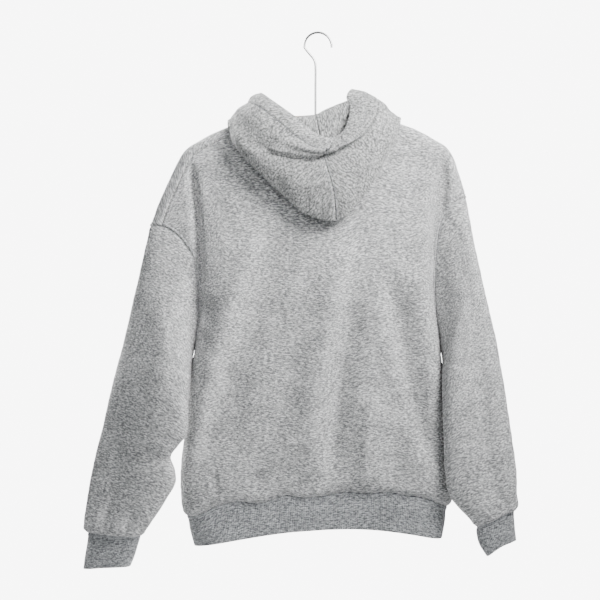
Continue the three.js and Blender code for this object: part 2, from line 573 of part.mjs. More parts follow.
function sectionPoint(table, t, angle, folds) {
  const at = (column) => read(table, 't', t, column);
  const face = Math.cos(angle);
  const outer = vec(at('ox'), at('oy'), at('oz'));
  const inner = vec(at('ix'), at('iy'), at('iz'));
  const point = inner.lerp(outer, (face + 1) / 2);
  const onBack = Math.sin(angle) >= 0;
  const ridge = onBack ? at('ridge') : 0;
  const reach = face > ridge ? (face - ridge) / (1 - ridge) : (ridge - face) / (1 + ridge);
  const power = onBack && face > ridge && ridge < 0
    ? mix(2, RIDGE_SHARP, clamp(-ridge / RIDGE_FROM, 0, 1))
    : mix(2, FACE_SQUARE, smooth(0, SQUARE_FROM, t));
  const shape = Math.sqrt(Math.max(0, 1 - reach ** power));
  let rise = 0;
  for (const fold of folds) {
    const along = (t - fold.t) / fold.wide;
    const across = (face - fold.face) / fold.spread;
    rise += fold.rise * Math.exp(-along * along - across * across);
  }
  point.y += (onBack ? -1 : 1) * (at(onBack ? 'back' : 'front') * shape
    + rise * Math.sqrt(Math.max(0, 1 - face * face)));
  return point;
}

// The angles of a sleeve's grid, which follow the rows of the two panels along the armhole
const angleOf = (v) => Math.acos(clamp(1 - (2 * Math.abs(v)) / ARMHOLE_END, -1, 1));
const panelAngle = (v, side) => angleOf(v) * (v < 0 ? -1 : 1) * (side === 'back' ? 1 : -1);
function sleeveAngles(u) {
  const angles = [];
  for (let r = 0; r <= END_ROW; r += 1) {
    const v = rowPlace(u, r, 'back');
    angles.push(v < 0 ? -angleOf(v) : angleOf(v));
  }
  for (let r = END_ROW - 1; r > 0; r -= 1) {
    const v = rowPlace(u, r, 'front');
    angles.push(v < 0 ? 2 * Math.PI + angleOf(v) : 2 * Math.PI - angleOf(v));
  }
  return angles;
}
const armholePoint = (u, angle) => bodyPoint(u, armholeShare(angle), sideOf(angle));
const ARMHOLE_BLEND = 0.16; // share of the sleeve that takes over the armhole's shape
const SLEEVE_ROWS = [0, 0.035, 0.075, 0.13, 0.2, 0.29, 0.38, 0.47, 0.55, 0.61, 0.65, 0.7, 0.76,
  0.83, 0.9, 0.96, 1];
function sleevePoint(u, t, angle, table, folds) {
  const own = sectionPoint(table, t, angle, folds);
  return armholePoint(u, angle).lerp(own, smooth(0, ARMHOLE_BLEND, t));
}
function sleeve(u, table, folds) {
  const angles = sleeveAngles(u);
  const section = (t) => angles.map((angle) => sleevePoint(u, t, angle, table, folds));
  const rows = SLEEVE_ROWS.map(section);
  const normals = gridNormals(rows, true, u > 0);
  normals[0] = angles.map((angle) => armholeNormal(u, angle));
  const grid = openSeams(rows, { top: SEAM_GAP, bottom: SEAM_GAP });
  grid[0].forEach((point, c) => {
    point.addScaledVector(sleeveDirection(u, angles[c]), -armholeSink(u, angles[c]));
  });
  return { normals, geometry: wall(grid, normals, () => CLOTH, true) };
}
const CUFF_ROWS = [0, 0.06, 0.15, 0.5, 1];
const bandThick = (r) => (r === 0 ? CLOTH : BAND_CLOTH);
function cuff(u, table, lift, above) {
  const angles = sleeveAngles(u);
  const rows = CUFF_ROWS.map((t) => angles.map((angle) => {
    const point = sectionPoint(table, t, angle, []);
    point.z += lift * t * t * Math.sin(angle) ** 2;
    return point;
  }));
  const normals = gridNormals(rows, true, u > 0);
  normals[0] = above;
  return wall(openSeams(rows, { top: SEAM_GAP }), normals, bandThick, true);
}

// Hem band: a ring below the panels' bottom edges
const HEM_ROWS = [0, 0.08, 0.2, 0.5, 1];
const HEM_DEPTH_LOW = { back: 41, front: 42 };
function hemBand() {
  const loop = [...COLUMN_PLACES.map((u) => ({ u, side: 'back' })),
    ...COLUMN_PLACES.slice(1, -1).reverse().map((u) => ({ u, side: 'front' }))];
  const rows = HEM_ROWS.map((share) => loop.map(({ u, side }) => {
    const top = bodyPoint(u, 1, side);
    const round = Math.sqrt(Math.max(0, 1 - Math.abs(u) ** SIDE_ROUNDING));
    const depth = HEM_DEPTH_LOW[side] * round * (side === 'back' ? -1 : 1);
    const low = vec(read(HEM_EDGE, 'u', u, 'x'), depth, read(HEM_EDGE, 'u', u, 'z'));
    return top.lerp(low, share);
  }));
  const normals = gridNormals(rows, true, false);
  normals[0] = loop.map(({ u, side }) => bodyNormal(u, 1, side));
  return wall(openSeams(rows, { top: SEAM_GAP }), normals, bandThick, true);
}

// Hood, down on the back. Each rail is a line round it, from the front (s = -1) past the left
// side, the middle of the back (s = 0) and the right side to the front again (s = 1).
const STAND = [ // steps from the neckline to the line where the hood folds over, above it
  { s: -1, x: -2, y: 7, z: 10 },
  { s: -0.87, x: -2, y: 9, z: 10 },
  { s: -0.77, x: -4, y: 9, z: 10 },
  { s: -0.665, x: -5, y: 4, z: 11 },
  { s: -0.6, x: -4, y: -3, z: 14 },
  { s: -0.5, x: -5, y: -8, z: 12 },
  { s: -0.34, x: -4, y: -14, z: 10 },
  { s: -0.18, x: -3, y: -17, z: 8 },
  { s: -0.11, x: -2, y: -19, z: 7 },
  { s: -0.05, x: -2, y: -20, z: 9 },
  { s: 0, x: -2, y: -20, z: 12 },
  { s: 0.05, x: 0, y: -20, z: 22 },
  { s: 0.11, x: 0, y: -19, z: 27 },
  { s: 0.18, x: -2, y: -18, z: 27 },
  { s: 0.26, x: -2, y: -15, z: 24 },
  { s: 0.34, x: 0, y: -12, z: 18 },
  { s: 0.42, x: 3, y: -6, z: 12 },
  { s: 0.5, x: 4, y: 0, z: 12 },
  { s: 0.6, x: 4, y: 5, z: 16 },
  { s: 0.665, x: 4, y: 7, z: 14 },
  { s: 0.77, x: 3, y: 9, z: 11 },
  { s: 0.87, x: 2, y: 9, z: 10 },
  { s: 1, x: 2, y: 7, z: 10 },
];
const TURN = [ // lowest line, where the hood turns back up on itself
  { s: -1, x: 5, y: 40, z: -251 },
  { s: -0.88, x: -58, y: 44, z: -220 },
  { s: -0.78, x: -122, y: 36, z: -186 },
  { s: -0.71, x: -149, y: 16, z: -170 },
  { s: -0.665, x: -155, y: 0, z: -160 },
  { s: -0.62, x: -155, y: -17, z: -171 },
  { s: -0.55, x: -148, y: -36, z: -202 },
  { s: -0.47, x: -129, y: -48, z: -226 },
  { s: -0.35, x: -95, y: -54, z: -263 },
  { s: -0.19, x: -51, y: -57, z: -305 },
  { s: -0.1, x: -22, y: -58, z: -327 },
  { s: -0.04, x: 4, y: -58, z: -338 },
  { s: 0, x: 33, y: -58, z: -342 },
  { s: 0.04, x: 53, y: -58, z: -331 },
  { s: 0.11, x: 77, y: -57, z: -305 },
  { s: 0.22, x: 101, y: -55, z: -270 },
  { s: 0.38, x: 126, y: -50, z: -226 },
  { s: 0.5, x: 141, y: -38, z: -193 },
  { s: 0.6, x: 150, y: -17, z: -166 },
  { s: 0.65, x: 150, y: 0, z: -155 },
  { s: 0.71, x: 145, y: 16, z: -165 },
  { s: 0.78, x: 120, y: 36, z: -182 },
  { s: 0.88, x: 66, y: 44, z: -218 },
  { s: 1, x: 12, y: 40, z: -251 },
];
const TUCK = [ // the crease under the front hem, deepest in the middle of the back
  { s: -1, x: 5, y: 41, z: -247 },
  { s: -0.88, x: -58, y: 45, z: -208 },
  { s: -0.76, x: -118, y: 36, z: -165 },
  { s: -0.665, x: -147, y: 3, z: -145 },
  { s: -0.61, x: -142, y: -18, z: -152 },
  { s: -0.54, x: -128, y: -44, z: -174 },
  { s: -0.4, x: -96, y: -58, z: -200 },
  { s: -0.2, x: -50, y: -60, z: -218 },
  { s: -0.1, x: -20, y: -57, z: -225 },
  { s: 0, x: 12, y: -54, z: -225 },
  { s: 0.1, x: 42, y: -53, z: -218 },
  { s: 0.22, x: 74, y: -50, z: -198 },
  { s: 0.36, x: 103, y: -42, z: -162 },
  { s: 0.5, x: 123, y: -26, z: -143 },
  { s: 0.6, x: 131, y: -8, z: -140 },
  { s: 0.65, x: 133, y: 5, z: -138 },
  { s: 0.77, x: 108, y: 36, z: -156 },
  { s: 0.88, x: 64, y: 45, z: -205 },
  { s: 1, x: 12, y: 41, z: -247 },
];
const BAND = [ // lower line of the hem round the face opening
  { s: -1, x: 5, y: 42, z: -242 },
  { s: -0.88, x: -57, y: 46, z: -198 },
  { s: -0.76, x: -108, y: 36, z: -144 },
  { s: -0.66, x: -123, y: 3, z: -125 },
  { s: -0.58, x: -116, y: -18, z: -127 },
  { s: -0.48, x: -104, y: -42, z: -140 },
  { s: -0.34, x: -68, y: -66, z: -174 },
  { s: -0.17, x: -32, y: -76, z: -203 },
  { s: 0, x: 16, y: -79, z: -219 },
  { s: 0.14, x: 52, y: -77, z: -209 },
  { s: 0.28, x: 82, y: -69, z: -188 },
  { s: 0.42, x: 102, y: -54, z: -158 },
  { s: 0.54, x: 111, y: -28, z: -128 },
  { s: 0.65, x: 110, y: 0, z: -121 },
  { s: 0.77, x: 97, y: 34, z: -139 },
  { s: 0.88, x: 62, y: 46, z: -195 },
  { s: 1, x: 12, y: 42, z: -242 },
];
const EDGE = [ // the hood's front edge
  { s: -1, x: 5, y: 37, z: -226 },
  { s: -0.88, x: -50, y: 39, z: -176 },
  { s: -0.76, x: -88, y: 28, z: -120 },
  { s: -0.66, x: -100, y: 2, z: -107 },
  { s: -0.5, x: -77, y: -36, z: -128 },
  { s: -0.34, x: -38, y: -56, z: -159 },
  { s: -0.17, x: -5, y: -65, z: -188 },
  { s: 0, x: 25, y: -68, z: -198 },
  { s: 0.14, x: 45, y: -65, z: -188 },
  { s: 0.28, x: 56, y: -56, z: -166 },
  { s: 0.4, x: 60, y: -42, z: -140 },
  { s: 0.48, x: 55, y: -32, z: -121 },
  { s: 0.55, x: 60, y: -18, z: -107 },
  { s: 0.65, x: 69, y: 2, z: -102 },
  { s: 0.77, x: 78, y: 26, z: -121 },
  { s: 0.88, x: 54, y: 39, z: -174 },
  { s: 1, x: 12, y: 37, z: -226 },
];
const BACK_REST = 3.2;      // hood's inner layer clear of the back panel
const RISE_SHARE = 0.4;     // how far a strip runs on straight from the neckline
const REST_FROM = 0.16;     // share of a strip over which it lifts clear of the panels
const LEAST_REST = 0.6;
const HOOD_BEHIND = 50;     // the hood's turn stands this far back where it is fullest
const HOOD_SAG = 15;        // how far the outer layer bellies out between the crease and the turn
const FRONT_SAG = 1;        // the same at the front
const INNER_BACK = 7;       // the inner layer lies this far inside of the turn
const INNER_RISE = 12;      // and this far above it
const ROLL = 4;             // how far the hem round the face opening rolls out
const ROLL_RISE = 2;
const FLAT_FROM = 0.8;      // from here on the rails run together at the front
const HOOD_SHARES = [0, 0.045, 0.1, 0.16, 0.23, 0.3, 0.37, 0.43, 0.475, 0.52, 0.57, 0.63, 0.69,
  0.74, 0.785, 0.83, 0.88, 0.92, 0.965, 1];
const HEM_FROM = 0.8;       // the second layer starts after this share of a strip

// The neckline's places on one half, from the middle of the back to the middle of the front
function neckPlaces(way) {
  const inside = COLUMNS.filter((u) => u < NECK_CORNER);
  const over = inside.filter((u) => u > NECK_BESIDE);
  const beside = inside.filter((u) => u <= NECK_BESIDE);
  const corner = [{ far: NECK_CORNER, side: way > 0 ? 'back' : 'front' }];
  const on = (list, side) => list.map((far) => ({ far, side }));
  const places = way > 0
    ? [...on(inside, 'back'), ...corner, ...on([...inside].reverse(), 'front')]
    : [...on(inside, 'back'), ...corner, ...on([...over].reverse(), 'front'),
      ...on([...beside].reverse(), 'front')];
  return places.map(({ far, side }) => ({ u: way * far, v: panelTop(way * far, side), side }));
}

// Lifts a point of the hood clear of the panels that it lies on, back, front or over the arms
const REST = CLOTH + BACK_REST;
const CREST_REST = 4.2;     // the hood bridges over the crest a little further out
const BODY_SPAN = 650;      // rough height and half width of a panel, to search it by
const BODY_HALF = 300;
function liftClear(point, rest) {
  const top = clothTop(point.x);
  if (Math.abs(point.x) > ARM_REACH || point.z > top + rest) return point;
  if (point.z > top - WRAP) {
    const middle = top - WRAP;
    const reach = Math.hypot(point.y, point.z - middle);
    const wanted = WRAP + (rest + CREST_REST * (rest / REST)) * Math.hypot(1, armSlope(point.x));
    if (reach >= wanted) return point;
    return vec(point.x, (point.y * wanted) / reach, middle + ((point.z - middle) * wanted) / reach);
  }
  let u = clamp(point.x / BODY_HALF, -0.95, 0.95);
  let v = clamp((top - point.z) / BODY_SPAN, 0.01, 0.9);
  for (let pass = 0; pass < 12; pass += 1) {
    const at = flatPoint(u, v);
    u = clamp(u + (point.x - at.x) / BODY_HALF, -0.98, 0.98);
    v = clamp(v + (at.z - point.z) / BODY_SPAN, 0.001, 0.95);
  }
  const side = point.y < 0 ? 'back' : 'front';
  const face = halfDepth(u, v, side) + rest;
  if (Math.abs(point.y) >= face) return point;
  return vec(point.x, face * (side === 'back' ? -1 : 1), point.z);
}

// One strip of the hood, from its base on the neckline to its front edge
function hoodStrip(neck, away, s) {
  const step = readPoint(STAND, 's', s);
  const base = neck.clone().addScaledVector(away, SEAM_GAP);
  const rise = neck.clone().addScaledVector(away, RISE_SHARE * step.length());
  const stand = neck.clone().add(step);
  const turn = readPoint(TURN, 's', s);
  const tuck = readPoint(TUCK, 's', s);
  const band = readPoint(BAND, 's', s);
  const edge = readPoint(EDGE, 's', s);
  const folded = smooth(1, FLAT_FROM, Math.abs(s));
  const under = stand.clone().lerp(turn, 0.55);
  const out = vec(turn.x, turn.y, 0).normalize();
  const behind = clamp(-turn.y / HOOD_BEHIND, 0, 1);
  const inner = turn.clone().addScaledVector(out, -INNER_BACK * folded);
  inner.z += INNER_RISE * folded * behind;
  const sag = mix(FRONT_SAG, HOOD_SAG, behind) * folded;
  const belly = turn.clone().lerp(tuck, 0.45).addScaledVector(out, sag);
  const lip = tuck.clone().lerp(band, 0.5).addScaledVector(out, ROLL * folded);
  const roll = band.clone().lerp(edge, 0.55).addScaledVector(out, ROLL * folded);
  roll.z += ROLL_RISE;
  const curve = new THREE.CatmullRomCurve3(
    [base, rise, stand, under, inner, turn, belly, tuck, lip, band, roll, edge], false, 'centripetal');
  return HOOD_SHARES.map((share) => {
    const rest = mix(LEAST_REST, REST, smooth(0, REST_FROM, share));
    return share > 0 ? liftClear(curve.getPoint(share), rest) : base;
  });
}

// Shares along the rails for the strips of one half, close together over the arms
const HOOD_PLACES = [0, 0.05, 0.11, 0.18, 0.26, 0.34, 0.42, 0.49, 0.55, 0.6, 0.635, 0.665, 0.695,
  0.73, 0.77, 0.82, 0.88, 0.94, 1];
const MIDDLE_STEP = 0.03;   // strips this far to both sides give the way out at the middle seam
function hoodHalf(way) {
  const stops = neckPlaces(way);
  const last = stops.length - 1;
  const points = stops.map(({ u, v, side }) => bodyPoint(u, v, side));
  const normals = stops.map(({ u, v, side }) => {
    const other = side === 'back' ? 'front' : 'back';
    return v < 0 ? bodyNormal(u, -v, other) : bodyNormal(u, v, side);
  });
  const strip = (n, s) => {
    const along = points[Math.min(n + 1, last)].clone().sub(points[Math.max(n - 1, 0)]).normalize();
    const away = along.cross(normals[n]).multiplyScalar(-way).normalize();
    if (n === 0 || n === last) away.set(0, away.y, away.z).normalize();
    return hoodStrip(points[n], away, s);
  };
  const strips = stops.map((_, n) => strip(n, way * HOOD_PLACES[n]));
  const rows = HOOD_SHARES.map((_, r) => strips.map((line) => line[r]));
  const own = gridNormals(rows, false, way > 0);
  const before = strip(0, -MIDDLE_STEP);
  const after = strip(0, MIDDLE_STEP);
  const around = HOOD_SHARES.map((_, r) => [before[r], strips[0][r], after[r]]);
  const middle = gridNormals(around, false, true);
  own.forEach((row, r) => {
    row[0] = middle[r][1];
  });
  const soft = own.map((row, r) => row.map((normal, c) => normal.clone().multiplyScalar(2)
    .add(own[Math.max(r - 1, 0)][c]).add(own[Math.min(r + 1, own.length - 1)][c]).normalize()));
  soft[0] = normals;
  soft.forEach((row) => row[last].setX(0).normalize());
  const grid = openSeams(rows, { left: SEAM_GAP, right: SEAM_GAP });
  const hemRow = HOOD_SHARES.findIndex((share) => share > HEM_FROM);
  return wall(grid, soft, (r) => (r > hemRow ? CLOTH + HOOD_HEM_EXTRA : CLOTH), false);
}

// The hook: one wire, a straight shank, a bend and an open loop, with the rail at the origin
const SHANK_X = -1;
const SHANK_LOW = ARM_CREST + SEAM_GAP;
const SHANK = [ // the wire's middle from the arms up to the start of the loop
  { x: SHANK_X, z: SHANK_LOW },
  { x: SHANK_X, z: -100 },
  { x: SHANK_X, z: -60 },
  { x: -1.8, z: -52 },
  { x: -4.6, z: -45.4 },
  { x: -11.6, z: -37 },
  { x: -18, z: -29.2 },
];
const LOOP_X = 3.5;         // middle of the loop
const LOOP_Z = -22.6;
const LOOP_START = 188;     // degrees, round from +X
const LOOP_END = -6;
const WIRE_SIDES = 8;
const LOOP_STEPS = 14;
const WIRE_STEPS = 36;
function hookGeometry() {
  const points = SHANK.map(({ x, z }) => vec(x, 0, z));
  for (let i = 0; i <= LOOP_STEPS; i += 1) {
    const angle = THREE.MathUtils.degToRad(mix(LOOP_START, LOOP_END, i / LOOP_STEPS));
    const out = vec(Math.cos(angle), 0, Math.sin(angle));
    points.push(vec(LOOP_X, 0, LOOP_Z).addScaledVector(out, HOOK_LOOP));
  }
  const path = new THREE.CatmullRomCurve3(points, false, 'centripetal');
  const section = new THREE.Shape();
  for (let i = 0; i < WIRE_SIDES; i += 1) {
    const angle = (2 * Math.PI * i) / WIRE_SIDES;
    const x = (WIRE / 2) * Math.cos(angle);
    const y = (WIRE / 2) * Math.sin(angle);
    if (i === 0) section.moveTo(x, y);
    else section.lineTo(x, y);
  }
  section.closePath();
  const along = { steps: WIRE_STEPS, extrudePath: path, bevelEnabled: false };
  return new THREE.ExtrudeGeometry(section, along);
}

// The hanger's arms: an oval bar bent along its top line and thinner at its two ends
const ARM_STATIONS = 24;
const ARM_SIDES = 10;
const TIP_LENGTH = 14;
const TIP_SHARE = 0.45;     // the section's size at the very end
const TIP_DROP = 2;         // how far its middle sinks there, for a whole section lost
function armsGeometry() {
  const rows = [];
  for (let i = 0; i <= ARM_STATIONS; i += 1) {
    const x = mix(-ARM_REACH, ARM_REACH, i / ARM_STATIONS);
    const end = mix(1, TIP_SHARE, smooth(ARM_REACH - TIP_LENGTH, ARM_REACH, Math.abs(x)));
    const row = [];
    for (let k = 0; k < ARM_SIDES; k += 1) {
      const angle = (2 * Math.PI * k) / ARM_SIDES;
      const up = Math.sin(angle);
      const y = ARM_HALF * end * Math.cos(angle);
      const z = armTop(x) + (ARM_TALL / 2) * (end * up - 1) - TIP_DROP * (1 - end);
      row.push(vec(x, y, z));
    }
    rows.push(row);
  }
  const positions = rows.flat().flatMap((p) => [p.x, p.y, p.z]);
  const index = [];
  const at = (r, c) => r * ARM_SIDES + (c % ARM_SIDES);
  for (let r = 0; r < ARM_STATIONS; r += 1) {
    for (let c = 0; c < ARM_SIDES; c += 1) {
      index.push(at(r, c), at(r + 1, c), at(r + 1, c + 1));
      index.push(at(r, c), at(r + 1, c + 1), at(r, c + 1));
    }
  }
  for (let c = 1; c < ARM_SIDES - 1; c += 1) {
    index.push(at(0, 0), at(0, c), at(0, c + 1));
    index.push(at(ARM_STATIONS, 0), at(ARM_STATIONS, c + 1), at(ARM_STATIONS, c));
  }
  return outward(positions, index);
}

// The assembly
const hoodie = new THREE.Group();
function add(name, geometry, look) {
  const mesh = new THREE.Mesh(geometry, new THREE.MeshStandardMaterial(look));
  mesh.name = name;
  hoodie.add(mesh);
}
const leftSleeve = sleeve(-1, LEFT_SECTIONS, LEFT_SLEEVE_FOLDS);
const rightSleeve = sleeve(1, RIGHT_SECTIONS, RIGHT_SLEEVE_FOLDS);
add('back_panel', panel('back'), CLOTH_LOOK);
add('front_panel', panel('front'), CLOTH_LOOK);
add('left_sleeve', leftSleeve.geometry, CLOTH_LOOK);
add('right_sleeve', rightSleeve.geometry, CLOTH_LOOK);
add('left_cuff', cuff(-1, LEFT_CUFF, LEFT_CUFF_LIFT, leftSleeve.normals.at(-1)), RIB_LOOK);
add('right_cuff', cuff(1, RIGHT_CUFF, RIGHT_CUFF_LIFT, rightSleeve.normals.at(-1)), RIB_LOOK);
add('hem_band', hemBand(), RIB_LOOK);
add('left_hood', hoodHalf(-1), CLOTH_LOOK);
add('right_hood', hoodHalf(1), CLOTH_LOOK);
add('hanger_arms', armsGeometry(), WOOD_LOOK);
add('hanger_hook', hookGeometry(), STEEL_LOOK);

export default hoodie;
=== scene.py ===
"""A grey fleece pullover hoodie on a plain hanger, seen from its back: cloth, knit and stitching.

The forms are worked out in millimetres and laid down in metres. +Z is up, -Y points out of the
garment's back, and the garment's left is at -X. The origin is where a rail holds the hook."""

import math

import bpy
import numpy as np
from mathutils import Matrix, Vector


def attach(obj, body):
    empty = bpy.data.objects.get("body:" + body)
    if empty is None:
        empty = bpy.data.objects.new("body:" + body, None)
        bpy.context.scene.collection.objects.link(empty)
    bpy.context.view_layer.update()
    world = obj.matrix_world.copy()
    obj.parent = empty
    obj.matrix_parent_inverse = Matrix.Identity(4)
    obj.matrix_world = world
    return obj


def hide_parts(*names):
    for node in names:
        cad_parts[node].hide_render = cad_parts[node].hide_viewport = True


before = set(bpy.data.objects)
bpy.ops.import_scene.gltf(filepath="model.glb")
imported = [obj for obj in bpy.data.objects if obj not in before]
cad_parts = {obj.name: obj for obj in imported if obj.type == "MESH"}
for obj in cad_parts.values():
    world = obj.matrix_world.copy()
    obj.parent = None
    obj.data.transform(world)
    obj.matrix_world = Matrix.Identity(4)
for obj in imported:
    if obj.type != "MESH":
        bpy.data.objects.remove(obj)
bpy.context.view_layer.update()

# Sizes in millimetres, and places on a panel as shares of its half width or its height
CLOTH = 2.4             # fleece wall
BAND_CLOTH = 3.0        # folded rib of the hem band and the cuffs
HOOD_HEM_EXTRA = 1.4    # a second layer along the hood's front edge
ARM_CREST = -147        # top of the hanger's arms at the middle
ARM_REACH = 222         # half length of the hanger
ARM_DROOP = 22          # fall of the arms at DROOP_AT from the middle
DROOP_AT = 154
DROOP_POWER = 2.5
ARM_TILT = 0.0105       # the hanger hangs a little low on the left
ARM_CLEAR = 1.1         # cloth to hanger
WRAP = 10.5             # outer radius of the cloth bent over the arms
LOBE_WRAP = 22          # the same on the shoulder that hangs past the hanger
ARMHOLE_END = 0.49      # share of the panel's side edge that is armhole
SEAM_SHIFT = 19         # how far the shoulder seams lie off the crest
CREST_ON_ARM = 0.7      # the share of the half width that lies on the arm
CREST_STEPS = 161
ARMHOLE_DEPTH = 14      # half depth of the armhole loop at its middle
LEAST_DEPTH = 4.2       # no fold takes the body's half depth below this
SIDE_ROUNDING = 7       # power by which the body rounds to its sides
FOLD_ROUNDING = 6       # the same for the folds below the armholes
ARMHOLE_FROM = 0.68     # from here a panel bends to the armhole's depth
LOBE_END = 0.95         # from here the wrap is all LOBE_WRAP
FOLDS_FROM = 1.6        # folds are full this many wraps off the crest
FOLD_FADE = 0.22        # share of its length in which a fold fades at each end
NECK_CORNER = 0.33      # the shoulder seam's inner end
NECK_OVER = 0.285       # the crossing panel's neckline goes over the arm here
NECK_BESIDE = 0.24      # and comes down beside it here
NECK_EDGE = 0.019       # its height there
NECK_DROP = {"back": 0.062, "front": 0.185}
NECK_ROUND = 0.8        # 1 is a cosine, less is fuller
SEAM_WITHIN = 0.2       # the shoulder seam lies within this share of the height
HALVINGS = 20
POINTS_AT_ONCE = 8000
BACK, FRONT = -1, 1


def table(columns, *rows):
    return {name: np.array([row[i] for row in rows], float) for i, name in enumerate(columns.split())}


# The measured lines of the garment, in millimetres. u runs across from its left (-1) to its right (1),
# v down a panel, t down a sleeve or a cuff, and s round the neckline: the front's middle from the left
# is -1, the back's middle 0 and the front's middle from the right 1. A sleeve's section goes from its
# outer edge, o, to its inner one, i.
CREST_LEFT = table("u x z",
    (0.7, -222, -199.5), (0.76, -238, -213), (0.82, -253, -240), (0.88, -267, -270), (0.94, -283, -306),
    (1, -297, -344))

CREST_RIGHT = table("u x z",
    (0.7, 219, -193.5), (0.76, 235, -204.5), (0.82, 248, -225), (0.88, 256, -250), (0.94, 263, -272),
    (1, 269, -294))

SIDE_LEFT = table("v x z",
    (0, -297, -344), (0.05, -270, -350), (0.11, -243, -369), (0.2, -219, -407), (0.32, -211, -468),
    (0.41, -212, -518), (ARMHOLE_END, -217, -566), (0.555, -225, -606), (0.62, -230, -642),
    (0.75, -235, -712), (0.88, -243, -785), (0.96, -241, -838), (1, -233, -866))

SIDE_RIGHT = table("v x z",
    (0, 269, -294), (0.05, 245, -308), (0.11, 225, -338), (0.2, 216, -390), (0.32, 214, -458),
    (0.41, 217, -512), (ARMHOLE_END, 222, -561), (0.62, 231, -636), (0.75, 236, -706),
    (0.88, 243, -777), (0.96, 245, -824), (1, 236.5, -850))

HEM_SEAM = table("u x z",
    (-1, -233, -866), (-0.75, -175, -850), (-0.5, -117, -841), (-0.25, -58, -834), (0, 0, -830),
    (0.25, 58, -827), (0.5, 116, -827), (0.75, 176, -833), (1, 236.5, -850))

HEM_EDGE = table("u x z",
    (-1, -218.5, -919), (-0.75, -166, -908), (-0.5, -111, -898), (-0.25, -55, -890), (0, 3, -885),
    (0.25, 60, -883), (0.5, 116, -886), (0.75, 170, -894), (1, 226.5, -906))

DEPTH = table("v back front",
    (0, 10.5, 10.5), (0.05, 15, 17), (0.15, 24, 30), (0.3, 36, 42), (0.5, 46, 50), (0.75, 52, 54),
    (0.93, 54, 55), (0.975, 51, 52), (1, 45, 46))

BACK_FOLDS = table("x1 z1 xm zm x2 z2 rise wide wide2",
    (-226, -222, -209, -372, -215, -560, -20, 9, 6), (234, -212, 216, -360, 224, -560, -22, 10, 11),
    (-48, -330, -128, -520, -205, -810, -20, 19, 46), (-92, -330, -158, -520, -222, -760, 10, 26, 18),
    (62, -350, 8, -600, -22, -812, 15, 40, 22), (66, -470, 38, -650, 20, -815, -15, 15, 24),
    (130, -430, 160, -600, 212, -790, -14, 17, 30), (96, -640, 90, -740, 78, -826, 9, 16, 18),
    (150, -620, 142, -730, 132, -822, -8, 16, 26), (-192, -470, -196, -520, -200, -566, -11, 10, 14),
    (-36, -716, -68, -752, -104, -790, 7, 9, 12))

FRONT_FOLDS = table("x1 z1 xm zm x2 z2 rise wide",
    (-232, -220, -206, -372, -204, -560, -11, 15), (232, -212, 208, -360, 208, -560, -11, 15),
    (-60, -300, -112, -520, -150, -800, -14, 26), (40, -330, 76, -540, 120, -806, -15, 24),
    (-4, -400, -14, -600, -30, -806, 11, 30), (150, -470, 176, -640, 190, -800, 9, 20),
    (-186, -560, -190, -680, -196, -806, -9, 17), (30, -720, 34, -770, 36, -818, -7, 14))

LEFT_SECTIONS = table("t ox oy oz ix iy iz back front ridge",
    (0, -297, 0, -344, -217, 0, -566, 23, 23, 0), (0.06, -306, 4, -377, -222, -5, -577, 28, 24, -0.1),
    (0.12, -316, 8, -416, -221, -14, -592, 33, 25, -0.15),
    (0.2, -327, 12, -465, -223, -28, -614, 35, 25, -0.15),
    (0.3, -342, 16, -527, -225, -38, -645, 36, 25, -0.1),
    (0.4, -358, 18, -588, -226, -43, -680, 36, 25, -0.05),
    (0.5, -373, 18, -650, -228, -44, -714, 35, 25, -0.05),
    (0.58, -385, 18, -700, -245, -41, -738, 32, 25, -0.15),
    (0.64, -395, 17, -740, -257, -37, -757, 28, 24, -0.3),
    (0.7, -403, 16, -776, -249, -38, -780, 27, 24, -0.45),
    (0.76, -409, 15, -808, -248, -38, -804, 27, 24, -0.45),
    (0.83, -415, 14, -842, -266, -36, -834, 26, 23, -0.4),
    (0.9, -418, 12, -868, -287, -32, -866, 25, 22, -0.3),
    (0.96, -419, 10, -889, -304, -26, -889, 24, 21, -0.2),
    (1, -413, 9, -900, -312, -22, -899, 20, 18, -0.1))

RIGHT_SECTIONS = table("t ox oy oz ix iy iz back front ridge",
    (0, 269, 0, -294, 221, 0, -561, 23, 23, 0), (0.06, 274, -3, -322, 226, -5, -574, 25, 24, 0),
    (0.12, 280, -5, -358, 226, -15, -590, 26, 24, 0), (0.2, 290, -8, -408, 223, -29, -614, 27, 24, 0),
    (0.3, 305, -10, -477, 222, -39, -645, 27, 24, 0), (0.4, 321, -12, -545, 222, -44, -684, 27, 24, 0),
    (0.5, 332, -13, -608, 224, -46, -724, 27, 24, 0), (0.58, 341, -14, -662, 224, -48, -760, 27, 24, 0),
    (0.66, 348, -15, -714, 226, -49, -788, 27, 24, 0),
    (0.74, 354, -15, -757, 230, -48, -814, 27, 24, 0),
    (0.82, 358, -15, -796, 240, -46, -834, 27, 24, 0), (0.9, 357, -15, -828, 259, -42, -853, 25, 22, 0),
    (0.96, 357, -15, -845, 275, -38, -869, 23, 20, 0), (1, 354, -15, -853, 284, -35, -880, 19, 17, 0))

LEFT_CUFF = table("t ox oy oz ix iy iz back front ridge",
    (0, -413, 9, -900, -312, -22, -899, 20, 18, -0.1),
    (0.12, -413, 9, -908, -314, -21, -906, 18, 16, -0.1),
    (0.5, -416, 8, -932, -321, -18, -929, 17, 15, 0), (1, -420, 7, -963, -331, -15, -954, 16, 15, 0))

RIGHT_CUFF = table("t ox oy oz ix iy iz back front ridge",
    (0, 354, -15, -853, 284, -35, -880, 19, 17, 0), (0.12, 353, -15, -861, 283, -34, -889, 17, 15, 0),
    (0.5, 355, -14, -883, 288, -30, -910, 16, 14, 0), (1, 358, -12, -908, 302, -26, -934, 15, 14, 0))

